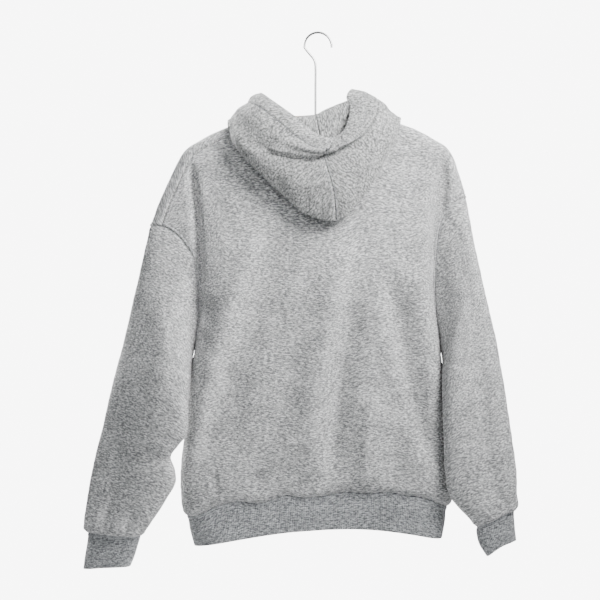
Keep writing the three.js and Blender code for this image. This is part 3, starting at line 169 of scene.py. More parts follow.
LEFT_SLEEVE_FOLDS = table("t wide face spread rise",
    (0.66, 0.035, -0.75, 0.5, -7), (0.88, 0.09, 0.35, 0.16, -6), (0.9, 0.06, -0.35, 0.14, -4),
    (0.74, 0.05, -0.3, 0.4, 4))

RIGHT_SLEEVE_FOLDS = table("t wide face spread rise",
    (0.62, 0.24, 0.25, 0.24, -6), (0.9, 0.07, -0.3, 0.2, 4), (0.93, 0.05, 0.45, 0.14, -4))

# The hood from the neckline out. STAND is added to the neckline, and the others are places: where the
# cloth turns back up, tucks under the band, rolls over and ends.
STAND = table("s x y z",
    (-1, -2, 7, 10), (-0.87, -2, 9, 10), (-0.77, -4, 9, 10), (-0.665, -5, 4, 11), (-0.6, -4, -3, 14),
    (-0.5, -5, -8, 12), (-0.34, -4, -14, 10), (-0.18, -3, -17, 8), (-0.11, -2, -19, 7),
    (-0.05, -2, -20, 9), (0, -2, -20, 12), (0.05, 0, -20, 22), (0.11, 0, -19, 27), (0.18, -2, -18, 27),
    (0.26, -2, -15, 24), (0.34, 0, -12, 18), (0.42, 3, -6, 12), (0.5, 4, 0, 12), (0.6, 4, 5, 16),
    (0.665, 4, 7, 14), (0.77, 3, 9, 11), (0.87, 2, 9, 10), (1, 2, 7, 10))

TURN = table("s x y z",
    (-1, 5, 40, -251), (-0.88, -58, 44, -220), (-0.78, -122, 36, -186), (-0.71, -149, 16, -170),
    (-0.665, -155, 0, -160), (-0.62, -155, -17, -171), (-0.55, -148, -36, -202),
    (-0.47, -129, -48, -226), (-0.35, -95, -54, -263), (-0.19, -51, -57, -305), (-0.1, -22, -58, -327),
    (-0.04, 4, -58, -338), (0, 33, -58, -342), (0.04, 53, -58, -331), (0.11, 77, -57, -305),
    (0.22, 101, -55, -270), (0.38, 126, -50, -226), (0.5, 141, -38, -193), (0.6, 150, -17, -166),
    (0.65, 150, 0, -155), (0.71, 145, 16, -165), (0.78, 120, 36, -182), (0.88, 66, 44, -218),
    (1, 12, 40, -251))

TUCK = table("s x y z",
    (-1, 5, 41, -247), (-0.88, -58, 45, -208), (-0.76, -118, 36, -165), (-0.665, -147, 3, -145),
    (-0.61, -142, -18, -152), (-0.54, -128, -45, -174), (-0.4, -96, -65, -200), (-0.2, -50, -73, -218),
    (-0.1, -20, -75, -225), (0, 12, -75, -225), (0.1, 42, -73, -218), (0.22, 74, -66, -198),
    (0.36, 103, -50, -162), (0.5, 123, -26, -143), (0.6, 131, -8, -140), (0.65, 133, 5, -138),
    (0.77, 108, 36, -156), (0.88, 64, 45, -205), (1, 12, 41, -247))

BAND = table("s x y z",
    (-1, 5, 42, -242), (-0.88, -57, 46, -198), (-0.76, -108, 36, -144), (-0.66, -123, 3, -125),
    (-0.58, -116, -18, -127), (-0.48, -104, -42, -140), (-0.34, -68, -66, -174),
    (-0.17, -32, -76, -203), (0, 16, -79, -219), (0.14, 52, -77, -209), (0.28, 82, -69, -188),
    (0.42, 102, -54, -158), (0.54, 111, -28, -128), (0.65, 110, 0, -121), (0.77, 97, 34, -139),
    (0.88, 62, 46, -195), (1, 12, 42, -242))

EDGE = table("s x y z",
    (-1, 5, 37, -226), (-0.88, -50, 39, -176), (-0.76, -88, 28, -120), (-0.66, -100, 2, -107),
    (-0.5, -77, -36, -128), (-0.34, -38, -56, -159), (-0.17, -5, -65, -188), (0, 25, -68, -198),
    (0.14, 45, -65, -188), (0.28, 56, -56, -166), (0.4, 60, -42, -140), (0.48, 55, -32, -121),
    (0.55, 60, -18, -107), (0.65, 69, 2, -102), (0.77, 78, 26, -121), (0.88, 54, 39, -174),
    (1, 12, 37, -226))

SLEEVES = {-1: (LEFT_SECTIONS, LEFT_SLEEVE_FOLDS), 1: (RIGHT_SECTIONS, RIGHT_SLEEVE_FOLDS)}
CUFFS = {-1: (LEFT_CUFF, 2), 1: (RIGHT_CUFF, 6)}

# What the cloth adds to the plain forms: seams drawn up by the rib, and the smaller creases
HEM_SCALLOPS = table("u back front",
    (-1, 0, 0), (-0.93, 2, -3), (-0.86, 0, -5), (-0.745, -7, -8), (-0.58, -9, -4), (-0.45, -1, -8),
    (-0.38, -2, -10), (-0.3, -7, -6), (-0.22, -10, -3), (-0.12, -4, -8), (0, -4, -9), (0.08, -5, -5),
    (0.145, -8, -3), (0.25, -9, -7), (0.4, -6, -10), (0.49, -8, -6), (0.59, -9, -2), (0.68, -6, -6),
    (0.77, -7, -9), (0.85, -6, -7), (0.95, -2, -2), (1, 0, 0))

BACK_CREASES = table("x1 z1 x2 z2 bow rise wide wide2",
    (63, -381, -29, -782, 10, 1.8, 12, 18), (42, -529, 28, -782, -3, -2.4, 8, 12),
    (-57, -473, -71, -571, 2, -1.8, 14, 12), (80, -690, 92, -808, 3, 1.0, 10, 12),
    (133, -680, 122, -806, -3, -1.0, 9, 14), (-36, -712, -92, -761, 3, 1.8, 6, 9),
    (-177, -776, -171, -834, 1, -2.4, 4, 9), (-148, -770, -146, -812, 0, -1.8, 7, 8),
    (-68, -788, -66, -830, 1, -1.8, 8, 6), (6, -786, 8, -826, -1, -1.6, 7, 9),
    (91, -786, 90, -822, 1, -1.6, 8, 7), (112, -299, 154, -300, 1, -0.8, 3, 4),
    (-192, -556, -146, -640, -4, -1.9, 7, 11), (-204, -596, -176, -706, -3, -1.5, 9, 12),
    (204, -556, 168, -646, 5, -1.8, 8, 10), (210, -600, 192, -730, 3, 1.4, 9, 9),
    (-176, -262, -128, -424, 6, -1.5, 14, 18), (176, -250, 150, -430, -5, -1.5, 14, 12),
    (-20, -360, -60, -520, -6, 1.5, 16, 14), (110, -420, 128, -600, 4, 1.4, 14, 16),
    (-206, -470, -176, -500, 3, -3.2, 6, 12), (-204, -508, -172, -560, 4, 2.4, 9, 7),
    (-120, -600, -150, -760, 5, -1.6, 10, 16), (20, -430, 60, -640, -4, 1.2, 18, 12))

FRONT_CREASES = table("x1 z1 x2 z2 bow rise wide wide2",
    (-150, -236, -112, -430, 6, -1.7, 12, 16), (150, -230, 118, -420, -6, -1.7, 14, 12),
    (-190, -556, -140, -646, -4, -2, 8, 10), (196, -556, 150, -640, 5, -2, 8, 10),
    (-30, -420, -48, -700, 8, 1.8, 14, 18), (66, -460, 58, -760, -6, -2.1, 10, 14),
    (-96, -600, -110, -810, 4, 1.7, 9, 11), (112, -640, 122, -806, -3, 1.7, 9, 9),
    (-160, -740, -156, -830, 2, -1.8, 8, 6), (-40, -770, -44, -826, 1, -1.8, 7, 8),
    (20, -776, 22, -824, -1, -1.6, 7, 8), (92, -780, 90, -824, 1, -1.7, 8, 7),
    (170, -740, 172, -824, -2, -1.7, 7, 8), (-60, -330, 40, -352, -5, -1.2, 9, 12))

LEFT_CREASES = table("x1 z1 x2 z2 bow rise wide wide2 side",
    (10, -510, 12, -604, 2, -2.2, 7, 10, -1), (44, -520, 48, -582, 1, 1.7, 8, 7, -1),
    (-20, -545, -24, -600, -1, 1.7, 7, 7, -1), (-20, -60, -12, -400, 8, 1.4, 16, 12, -1),
    (-72, -398, -8, -372, -3, -1.8, 6, 8, -1), (-74, -428, -14, -446, 4, -1.5, 7, 9, -1),
    (34, -30, 46, -270, 5, -1.3, 16, 14, -1), (30, -330, 34, -500, -3, -1.2, 12, 10, -1),
    (0, -100, 16, -430, -6, -1.6, 14, 12, 1), (-66, -392, 6, -366, -4, -2, 7, 9, 1),
    (-66, -424, 12, -456, 5, 1.5, 9, 8, 1), (30, -480, 36, -600, 2, -1.8, 8, 9, 1),
    (-34, -500, -26, -600, -2, 1.6, 8, 8, 1), (44, -60, 40, -300, 4, 1.2, 14, 12, 1))

RIGHT_CREASES = table("x1 z1 x2 z2 bow rise wide wide2 side",
    (24, -300, 22, -560, 3, -1.9, 10, 13, -1), (-32, -120, -34, -430, 4, 1.3, 14, 12, -1),
    (52, -380, 46, -530, -2, 1.4, 8, 9, -1), (-20, -530, -10, -600, 1, -1.8, 7, 6, -1),
    (32, -545, 40, -602, 1, 1.6, 6, 7, -1), (30, -40, 46, -230, 4, -1.3, 14, 14, -1),
    (0, -110, 8, -430, 5, -1.5, 14, 12, 1), (-50, -330, 20, -350, -4, -1.7, 8, 10, 1),
    (-50, -470, 30, -500, 4, -1.5, 9, 8, 1), (20, -500, 26, -602, -2, 1.6, 8, 8, 1),
    (-30, -520, -24, -600, 2, -1.7, 7, 7, 1), (44, -60, 40, -300, 4, 1.2, 14, 12, 1))

HEM_CREASES = table("x1 z1 x2 z2 bow rise wide wide2",
    (70, 0, 74, -34, 1, -1, 6, 7), (150, 0, 146, -30, 1, -1, 7, 6), (225, 0, 228, -38, 1, 0.9, 7, 7),
    (318, 0, 316, -30, 1, -1, 6, 7), (400, 0, 402, -34, 1, 0.9, 7, 8), (560, 0, 556, -36, 1, -1, 7, 6),
    (650, 0, 652, -30, 1, 0.9, 6, 7), (760, 0, 758, -36, 1, -1, 7, 7), (850, 0, 852, -32, 1, 0.9, 7, 6))

# The line on which the hood's rolled band lies over its pouch
LIP_LINE = table("x z",
    (-190, -184), (-125, -182), (-60, -185), (-6, -188), (18, -204), (41, -220), (100, -233), (160, -242),
    (216, -248), (270, -252))

HOOD_CREASES = table("x1 z1 x2 z2 bow rise wide wide2",
    (-215, -170, -110, -182, 4, -2.0, 6, 7),
    (69, -150, 215, -188, -6, -1.8, 3, 6), (60, -142, 225, -176, -6, 1.2, 6, 8),
    (-150, -118, -60, -148, 6, -1.8, 9, 12), (50, -110, 120, -132, -6, -1.6, 9, 12),
    (20, -120, 26, -170, 2, 1.2, 9, 9), (-200, -100, -180, -160, 4, 1.5, 11, 10),
    (-50, -100, -44, -160, 3, 1.2, 10, 12), (-300, -60, -270, -150, 6, -1.6, 11, 12),
    (300, -60, 272, -150, -6, -1.6, 12, 11))


def mix(a, b, share):
    return a + (b - a) * share


def smooth(start, end, value):
    share = np.clip((value - start) / (end - start), 0, 1)
    return share * share * (3 - 2 * share)


def unit(v):
    return v / np.maximum(np.linalg.norm(v, axis=-1, keepdims=True), 1e-9)


def read(rows, key, at, column):
    """A table's column at a place along its key, on a smooth curve through the rows."""
    x, y = rows[key], rows[column]
    last = len(x) - 1
    at = np.asarray(at, float)
    i = np.clip(np.searchsorted(x, at) - 1, 0, last - 1)
    before, after = np.maximum(i - 1, 0), np.minimum(i + 2, last)
    span = x[i + 1] - x[i]
    s = np.clip((at - x[i]) / span, 0, 1)
    rise_a = (y[i + 1] - y[before]) / (x[i + 1] - x[before]) * span
    rise_b = (y[after] - y[i]) / (x[after] - x[i]) * span
    s2, s3 = s * s, s * s * s
    return ((2 * s3 - 3 * s2 + 1) * y[i] + (s3 - 2 * s2 + s) * rise_a
            + (3 * s2 - 2 * s3) * y[i + 1] + (s3 - s2) * rise_b)


def read_point(rows, key, at):
    return np.stack([read(rows, key, at, c) for c in "xyz"], axis=-1)


# The body's form: shoulders on the hanger, armholes, side seams, hem
def arm_top(x):
    return ARM_CREST + ARM_TILT * x - ARM_DROOP * (np.abs(x) / DROOP_AT) ** DROOP_POWER


def arm_slope(x):
    return (arm_top(x + 1) - arm_top(x - 1)) / 2


def cloth_top(x):
    return arm_top(x) + (CLOTH + ARM_CLEAR) * np.hypot(1, arm_slope(x))


def crest(u):
    far = np.abs(u)
    left = u < 0
    x = np.where(left, read(CREST_LEFT, "u", far, "x"), read(CREST_RIGHT, "u", far, "x"))
    z = np.where(left, read(CREST_LEFT, "u", far, "z"), read(CREST_RIGHT, "u", far, "z"))
    on_arm = np.where(left, CREST_LEFT["x"][0], CREST_RIGHT["x"][0]) * far / CREST_ON_ARM
    near = far < CREST_ON_ARM
    return np.where(near, on_arm, x), np.where(near, cloth_top(on_arm), z)


CREST_LINE = np.stack(crest(np.linspace(-1, 1, CREST_STEPS)), axis=-1)


def from_crest(x, z):
    """How far points of the flat garment lie from the crest of its shoulders."""
    flat = np.stack([np.ravel(x), np.ravel(z)], axis=-1)
    a, d = CREST_LINE[:-1], np.diff(CREST_LINE, axis=0)
    length = (d * d).sum(1)
    least = np.empty(len(flat))
    for i in range(0, len(flat), POINTS_AT_ONCE):
        p = flat[i:i + POINTS_AT_ONCE, None] - a
        s = np.clip((p * d).sum(2) / length, 0, 1)
        least[i:i + POINTS_AT_ONCE] = np.sqrt(((p - s[..., None] * d) ** 2).sum(2).min(1))
    return least.reshape(np.shape(x))


def flat_point(u, v):
    """A panel's place seen flat from the back, between its crest, its sides and its hem."""
    across = (u + 1) / 2
    top, corner_l, corner_r = crest(u), crest(np.array(-1.0)), crest(np.array(1.0))
    out = []
    for k, c in enumerate("xz"):
        edges = mix(top[k], read(HEM_SEAM, "u", u, c), v)
        edges = edges + mix(read(SIDE_LEFT, "v", v, c), read(SIDE_RIGHT, "v", v, c), across)
        low = mix(HEM_SEAM[c][0], HEM_SEAM[c][-1], across)
        out.append(edges - mix(mix(corner_l[k], corner_r[k], across), low, v))
    return out


def crease_rise(creases, x, z):
    """Soft uneven troughs and ridges: each bends through three points and is fuller on one side."""
    rise = np.zeros(np.shape(x))
    columns = [creases[c] for c in "x1 z1 xm zm x2 z2 rise wide".split()]
    other = creases.get("wide2", creases["wide"])
    for (x1, z1, xm, zm, x2, z2, height, wide), wide2 in zip(zip(*columns), other):
        down = (z1 - z) / (z1 - z2)
        share = (z1 - zm) / (z1 - z2)
        bend = (xm - mix(x1, x2, share)) / (share * (1 - share))
        off = x - (mix(x1, x2, down) + bend * down * (1 - down))
        fade = smooth(0, FOLD_FADE, down) * smooth(0, FOLD_FADE, 1 - down)
        rise += height * fade * np.exp(-(off / np.where(off < 0, wide, wide2)) ** 2)
    return rise


def half_depth(u, v, side):
    """How far a panel stands off the garment's middle plane, folds included."""
    far = np.abs(u)
    x, z = flat_point(u, v)
    back = side < 0
    body = np.where(back, read(DEPTH, "v", v, "back"), read(DEPTH, "v", v, "front"))
    body = body * np.sqrt(np.maximum(0, 1 - far ** SIDE_ROUNDING))
    around = np.clip(1 - 2 * v / ARMHOLE_END, -1, 1)
    armhole = np.where(v < ARMHOLE_END, ARMHOLE_DEPTH * np.sqrt(1 - around ** 2), 0)
    depth = np.hypot(body, armhole * smooth(ARMHOLE_FROM, 1, far))
    off = from_crest(x, z)
    wrap = mix(WRAP, LOBE_WRAP, smooth(CREST_ON_ARM, LOBE_END, far))
    shape = np.where(back, crease_rise(BACK_FOLDS, x, z), crease_rise(FRONT_FOLDS, x, z))
    inside = np.sqrt(np.maximum(0, 1 - far ** FOLD_ROUNDING))
    shape = shape * smooth(0, FOLDS_FROM, off / wrap) * np.where(v < ARMHOLE_END, 1, inside)
    depth = np.maximum(np.minimum(depth, LEAST_DEPTH), depth + shape)
    rounding = np.clip(1 - off / wrap, 0, 1)
    return depth * np.sqrt(1 - rounding ** 2)


def body_point(u, v, side):
    u, v, side = np.broadcast_arrays(np.asarray(u, float), np.asarray(v, float), side)
    side = np.where(v < 0, -side, side)
    v = np.abs(v)
    beyond = np.abs(u) > 1
    side = np.where(beyond, -side, side)
    u = np.where(beyond, np.sign(u) * (2 - np.abs(u)), u)
    x, z = flat_point(u, v)
    return np.stack([x, side * half_depth(u, v, side), z], axis=-1)


def body_normal(u, v, side):
    u, v, side = np.broadcast_arrays(np.asarray(u, float), np.asarray(v, float), side)
    side = np.where(v < 0, -side, side)
    v = np.abs(v)
    step = 0.004
    edge = (v < ARMHOLE_END) & (np.abs(u) > 1 - step)
    right = np.where(edge & (u > 0), u, u + step)
    left = np.where(edge & (u < 0), u, u - step)
    low = np.where(v + step > 1, v, v + step)
    across = body_point(right, v, side) - body_point(left, v, side)
    down = body_point(u, low, side) - body_point(u, v - step, side)
    return unit(np.cross(across, down)) * side[..., None]


def seam_place(u):
    """The shoulder seam's place down a panel, found by halving."""
    low, high = np.zeros(np.shape(u)), np.full(np.shape(u), SEAM_WITHIN)
    for _ in range(HALVINGS):
        half = (low + high) / 2
        near = from_crest(*flat_point(u, half)) < SEAM_SHIFT
        low, high = np.where(near, half, low), np.where(near, high, half)
    return low


def panel_top(u, side):
    """A panel's upper edge: shoulder seams and neckline. One panel crosses over the arm on each side."""
    far = np.abs(u)
    crossing = (side < 0) == (u > 0)
    seam = seam_place(u) * np.where(crossing, -1, 1)
    start = np.where(crossing, NECK_BESIDE, NECK_CORNER)
    dip = np.cos(np.clip(far / start, 0, 1) * math.pi / 2) ** NECK_ROUND
    drop = np.where(np.asarray(side) < 0, NECK_DROP["back"], NECK_DROP["front"])
    top = mix(np.where(crossing, NECK_EDGE, seam), drop, dip)
    beside = NECK_EDGE * (NECK_OVER - far) / (NECK_OVER - NECK_BESIDE)
    over = seam * (far - NECK_OVER) / (NECK_CORNER - NECK_OVER)
    top = np.where(crossing & (far > NECK_BESIDE), beside, top)
    top = np.where(crossing & (far >= NECK_OVER), over, top)
    return np.where(far >= NECK_CORNER, seam, top)


# Fine grids over the form
HALF_COLUMNS = 92
COLUMN_PLACES = np.sin(np.linspace(-1, 1, 2 * HALF_COLUMNS + 1) * math.pi / 2)
TOP_ROWS, UPPER_ROWS, LOWER_ROWS = 30, 50, 76
END_ROW = TOP_ROWS + UPPER_ROWS


def panel_rows(u, side):
    step, start = seam_place(u), panel_top(u, side)
    root = np.sign(start) * np.sqrt(np.abs(start) / step)
    end = np.hypot(np.maximum(root, 0), 2)
    q = mix(root, end, np.linspace(0, 1, TOP_ROWS + 1)[:, None])
    top = np.sign(q) * q * q * step
    upper = mix(top[-1], ARMHOLE_END, np.linspace(0, 1, UPPER_ROWS + 1)[1:, None])
    lower = mix(ARMHOLE_END, 1, np.linspace(0, 1, LOWER_ROWS + 1)[1:, None])
    return np.concatenate([top, upper, lower + np.zeros_like(upper[:1])])


def side_of(angle):
    return np.where(np.mod(angle, 2 * math.pi) < math.pi, BACK, FRONT)


def armhole_share(angle):
    return ARMHOLE_END * (1 - np.cos(angle)) / 2


def angle_of(v):
    return np.arccos(np.clip(1 - 2 * np.abs(v) / ARMHOLE_END, -1, 1))


def armhole_point(u, angle):
    return body_point(u, armhole_share(angle), side_of(angle))


def panel_direction(u, angle):
    return body_normal(u, np.minimum(armhole_share(angle), ARMHOLE_END - 0.001), side_of(angle))


def sleeve_angles(u):
    places = {s: panel_rows(np.array([float(u)]), s)[:END_ROW + 1, 0] for s in (BACK, FRONT)}
    back = np.where(places[BACK] < 0, -1, 1) * angle_of(places[BACK])
    v = places[FRONT][END_ROW - 1:0:-1]
    return np.concatenate([back, 2 * math.pi + np.where(v < 0, 1, -1) * angle_of(v)])


# A sleeve's section: its ridge on the back, its squarish faces, and how it grows out of the armhole
RIDGE_SHARP, RIDGE_FROM, FACET = 1.5, 0.125, 0.5
FACE_SQUARE, SQUARE_FROM = 3.2, 0.2
ARMHOLE_BLEND = 0.16
BELOW_ARMHOLE = 0.035   # a short way down the sleeve
TURN_STEP = 0.05        # a small turn round it, in radians


def section_point(rows, t, angle, folds=None):
    t, angle = np.broadcast_arrays(np.asarray(t, float), angle)
    at = {c: read(rows, "t", t, c) for c in "ox oy oz ix iy iz back front ridge".split()}
    face = np.cos(angle)
    outer = np.stack([at["ox"], at["oy"], at["oz"]], axis=-1)
    inner = np.stack([at["ix"], at["iy"], at["iz"]], axis=-1)
    point = mix(inner, outer, (face[..., None] + 1) / 2)
    back = np.sin(angle) >= 0
    ridge = np.where(back, at["ridge"], 0)
    reach = np.where(face > ridge, (face - ridge) / (1 - ridge), (ridge - face) / (1 + ridge))
    sharp = mix(2, RIDGE_SHARP, np.clip(-ridge / RIDGE_FROM, 0, 1))
    square = mix(2, FACE_SQUARE, smooth(0, SQUARE_FROM, t))
    power = np.where(back & (face > ridge) & (ridge < 0), sharp, square)
    shape = np.sqrt(np.maximum(0, 1 - reach ** power))
    facet = FACET * np.clip(-ridge / RIDGE_FROM, 0, 1) * (back & (face > ridge))
    shape = mix(shape, 1 - reach, facet)
    rise = np.zeros(np.shape(face))
    if folds is not None:
        for ft, wide, ff, spread, height in zip(*[folds[c] for c in "t wide face spread rise".split()]):
            rise += height * np.exp(-((t - ft) / wide) ** 2 - ((face - ff) / spread) ** 2)
    depth = np.where(back, at["back"], at["front"]) * shape + rise * np.abs(np.sin(angle))
    point[..., 1] += np.where(back, -1, 1) * depth
    return point


def sleeve_point(u, t, angle, rows, folds):
    own = section_point(rows, t, angle, folds)
    blend = smooth(0, ARMHOLE_BLEND, np.asarray(t, float))
    return mix(armhole_point(u, angle), own, np.broadcast_to(blend, own.shape[:-1])[..., None])


def armhole_normal(u, angle, rows, folds):
    """The way out that a panel and its sleeve share where they meet."""
    along = unit(sleeve_point(u, BELOW_ARMHOLE, angle, rows, folds) - armhole_point(u, angle))
    around = armhole_point(u, angle + TURN_STEP) - armhole_point(u, angle - TURN_STEP)
    own = unit(np.cross(along, around)) * -u
    normal = unit(panel_direction(u, angle) + own)
    under = np.abs(np.abs(np.mod(angle + math.pi, 2 * math.pi) - math.pi) - math.pi) < 1e-6
    return np.where(under[..., None], np.array([0, 0, -1.0]), normal)


def grid_normals(rows, ring, flip):
    down = np.gradient(rows, axis=0)
    if ring:
        across = np.roll(rows, -1, axis=1) - np.roll(rows, 1, axis=1)
    else:
        across = np.gradient(rows, axis=1)
    return unit(np.cross(down, across)) * (-1 if flip else 1)


# Cloth walls
def lengths(rows, ring):
    """Millimetres of cloth across and along a grid, from its first column and its first row."""
    wide = np.concatenate([rows, rows[:, :1]], axis=1) if ring else rows
    across = np.linalg.norm(np.diff(wide, axis=1), axis=2).cumsum(1)
    along = np.linalg.norm(np.diff(wide, axis=0), axis=2).cumsum(0)
    return np.pad(across, ((0, 0), (1, 0))), np.pad(along, ((1, 0), (0, 0)))


GRAIN_REACH = 9     # columns or rows to each side over which the grain is evened out


def eased(values, axis, ring):
    """The grain runs straight over small creases: a running mean of the cloth's lengths."""
    reach = GRAIN_REACH
    for _ in range(2):
        pad = [(0, 0), (0, 0)]
        pad[axis] = (reach, reach)
        wide = np.pad(values, pad, mode="wrap" if ring else "edge")
        total = np.cumsum(np.insert(wide, 0, 0, axis=axis), axis=axis)
        size = values.shape[axis]
        upper = np.take(total, np.arange(size) + 2 * reach + 1, axis=axis)
        values = (upper - np.take(total, np.arange(size), axis=axis)) / (2 * reach + 1)
    return values


def rim(edge, inner, beside, bulge):
    """Three lines that round a cut or folded edge off, from the outer face to the inner one."""
    middle, half = (edge + inner) / 2, (edge - inner) / 2
    way = unit(edge - beside) * np.linalg.norm(half, axis=-1, keepdims=True) * bulge
    turns = [math.pi * k / 4 for k in (1, 2, 3)]
    return np.stack([middle + half * math.cos(a) + way * math.sin(a) for a in turns])


def made_piece(name, points, faces, finish):
    mesh = bpy.data.meshes.new(name)
    mesh.from_pydata(points.tolist(), [], faces)
    mesh.polygons.foreach_set("use_smooth", [True] * len(faces))
    mesh.materials.append(finish)
    mesh.update()
    piece = bpy.data.objects.new(name, mesh)
    bpy.context.collection.objects.link(piece)
    return piece


def cloth_wall(name, outer, normals, thick, ring, finish, free=(0, 0), hang=None, wales=False):
    """A closed wall of cloth on a grid. free says how far its first and last edges are rounded, hang is
    the way that its lengthwise grain runs, and wales keeps a rib's lines on the grid's columns."""
    high, wide = outer.shape[:2]
    inner = outer - normals * np.broadcast_to(thick, (high, wide))[..., None]
    low_rim = rim(outer[-1], inner[-1], outer[-3], free[1])
    top_rim = rim(outer[0], inner[0], outer[2], free[0])[::-1]
    loop = np.concatenate([outer, low_rim, inner[::-1], top_rim])
    rows = len(loop)
    across, along = lengths(outer, ring)
    across = across - (0 if ring else across[:, wide // 2:wide // 2 + 1])
    across, along = eased(across, 0, False), eased(along, 1, ring)
    if wales:
        across = across.mean(0) + np.zeros_like(across)
    if hang is not None:
        row = high // 2
        level = outer[row] @ np.asarray(hang, float)
        level = np.append(level, level[:1]) if ring else level
        along = along + eased((level - along[row])[None], 1, ring)
    place = np.stack([across, along], axis=-1) / 1000
    edge, start = [place[-1]] * 3, [place[0]] * 3
    place = np.concatenate([place, edge, place[::-1], start])
    if not ring:
        place = place[:, :wide]
    i, c = np.meshgrid(np.arange(rows), np.arange(wide if ring else wide - 1), indexing="ij")
    below, right = (i + 1) % rows, (c + 1) % wide
    corners = np.stack([i * wide + c, below * wide + c, below * wide + right, i * wide + right], axis=-1)
    beside = c + 1
    uv = np.stack([place[i, c], place[below, c], place[below, beside], place[i, beside]], axis=-2)
    faces, uvs = corners.reshape(-1, 4).tolist(), uv.reshape(-1, 4, 2).tolist()
    if not ring:
        inside = rows - 4 - np.arange(high)
        for c in (0, wide - 1):
            ends = [[r, r + 1, inside[r + 1], inside[r]] for r in range(high - 1)]
            ends += [list(range(high - 1, high + 4)), list(range(rows - 4, rows)) + [0]]
            for face in ends:
                turned = face[::-1] if c == 0 else face
                faces.append([int(r) * wide + c for r in turned])
                uvs.append([place[r, c].tolist() for r in turned])
    points = loop.reshape(-1, 3) / 1000
    a, b, d = (points[corners[..., k].ravel()] for k in (0, 1, 2))
    if (a * np.cross(b, d)).sum() < 0:
        faces, uvs = [f[::-1] for f in faces], [f[::-1] for f in uvs]
    piece = made_piece(name, points, faces, finish)
    layer = piece.data.uv_layers.new(name="cut")
    layer.data.foreach_set("uv", np.array([p for f in uvs for p in f]).ravel())
    return piece


HILL_WAVES = 9


def hills(x, y, size, seed):
    """Soft random hills from -1 to 1, about size apart."""
    turn = np.random.default_rng(seed)
    total = np.zeros(np.broadcast_shapes(np.shape(x), np.shape(y)))
    for _ in range(HILL_WAVES):
        angle, phase = turn.uniform(0, 2 * math.pi, 2)
        pitch = size * turn.uniform(0.7, 1.6)
        total += np.sin((x * math.cos(angle) + y * math.sin(angle)) * 2 * math.pi / pitch + phase)
    return total / 4


# Seams: heights, and distances and widths over the cloth, in millimetres
SEAM_DIP, DIP_WIDE = 1.0, 2.2
SWELL, SWELL_AT, SWELL_WIDE = 0.5, 9, 5
PUCKER, PUCKER_PITCH, PUCKER_AT, PUCKER_WIDE = 0.45, 15, 7, 8
WELT, WELT_RISE = 6.0, 0.9
STITCH_PULL, PULL_WIDE = 0.8, 1.2
LOW_WELT_SHARE, LOW_WELT_NARROW = 0.8, 1.3
EDGE_FADE = 3                   # relief fades to the seam in this distance
CALM_FROM, CALM_BY = 2, 16      # random unevenness starts and is full this far from an edge

# Height and pitch of the cloth's broad and fine unevenness, in millimetres
PANEL_HILLS = (0.55, 70), (0.22, 24)
SLEEVE_HILLS = (0.6, 55), (0.25, 20)
HOOD_HILLS = (0.6, 48), (0.25, 19)
CUFF_HILL, HEM_HILL = (0.5, 26), (0.7, 46)
CREASE_COLUMNS = "x1 z1 x2 z2 bow rise wide wide2".split()


def seam_swell(away, along, seed):
    """The swell and pucker beside a sewn seam, by the distance from it and along it."""
    pucker = hills(along, away * 0.25, PUCKER_PITCH, seed) * np.exp(-((away - PUCKER_AT) / PUCKER_WIDE) ** 2)
    swell = SWELL * np.exp(-((away - SWELL_AT) / SWELL_WIDE) ** 2)
    return swell + PUCKER * pucker * smooth(0, SWELL_WIDE, away)


def welt(away):
    """The turned and sewn-down seam allowance: a raised strip that ends in a drawn-in stitch line."""
    strip = WELT_RISE * smooth(WELT + 1, WELT - 1, away)
    return strip - STITCH_PULL * np.exp(-((away - WELT) / PULL_WIDE) ** 2)


def low_welt(away):
    """The same where a rib is sewn on, lower and narrower."""
    return LOW_WELT_SHARE * welt(away * LOW_WELT_NARROW)


def seam_dip(*aways):
    """How deep a seam pulls the cloth in, by the distances from the seams."""
    return -SEAM_DIP * np.exp(-(np.minimum.reduce(np.broadcast_arrays(*aways)) / DIP_WIDE) ** 2)


def blouse(away, rise, fullest):
    """The swell of the wider cloth above a rib, fullest at one distance from it."""
    return rise * (away / fullest) * np.exp(1 - away / fullest)


CREASE_FADE = 0.3   # share of its length in which a crease fades at each end


def creases_at(creases, x, z):
    """The smaller creases: each a soft uneven line, bowed sideways and fuller on one side of it."""
    rise = np.zeros(np.broadcast_shapes(np.shape(x), np.shape(z)))
    for x1, z1, x2, z2, bow, height, wide, wide2 in zip(*[creases[c] for c in CREASE_COLUMNS]):
        length = math.hypot(x2 - x1, z2 - z1)
        ax, az = (x2 - x1) / length, (z2 - z1) / length
        along = ((x - x1) * ax + (z - z1) * az) / length
        off = (x - x1) * az - (z - z1) * ax - 4 * bow * along * (1 - along)
        fade = smooth(0, CREASE_FADE, along) * smooth(0, CREASE_FADE, 1 - along)
        rise += height * fade * np.exp(-(off / np.where(off < 0, wide, wide2)) ** 2)
    return rise


def hem_drop(u, side):
    """How far the hem seam sags between its gathers."""
    back = read(HEM_SCALLOPS, "u", u, "back")
    return np.where(np.asarray(side) < 0, back, read(HEM_SCALLOPS, "u", u, "front"))


def from_edges(points, ring):
    across, along = lengths(points, ring)
    if ring:
        across, along = across[:, :-1], along[:, :-1]
    return along, along[-1] - along, across, across[:, -1:] - across


class Cloth:
    """A finished grid of cloth: its outer points, the ways out and the distances over it."""

    def __init__(self, outer, normals, ring):
        self.outer, self.normals, self.ring = outer, normals, ring
        self.top, self.bottom, self.left, self.right = from_edges(outer, ring)


DROP_REACH = 34     # the hem seam's sag fades out this far above it
MID_ROW = 60        # a row below the shoulders, where a panel's way out is plain
FAR_OFF = 99        # stands for a seam that isn't there


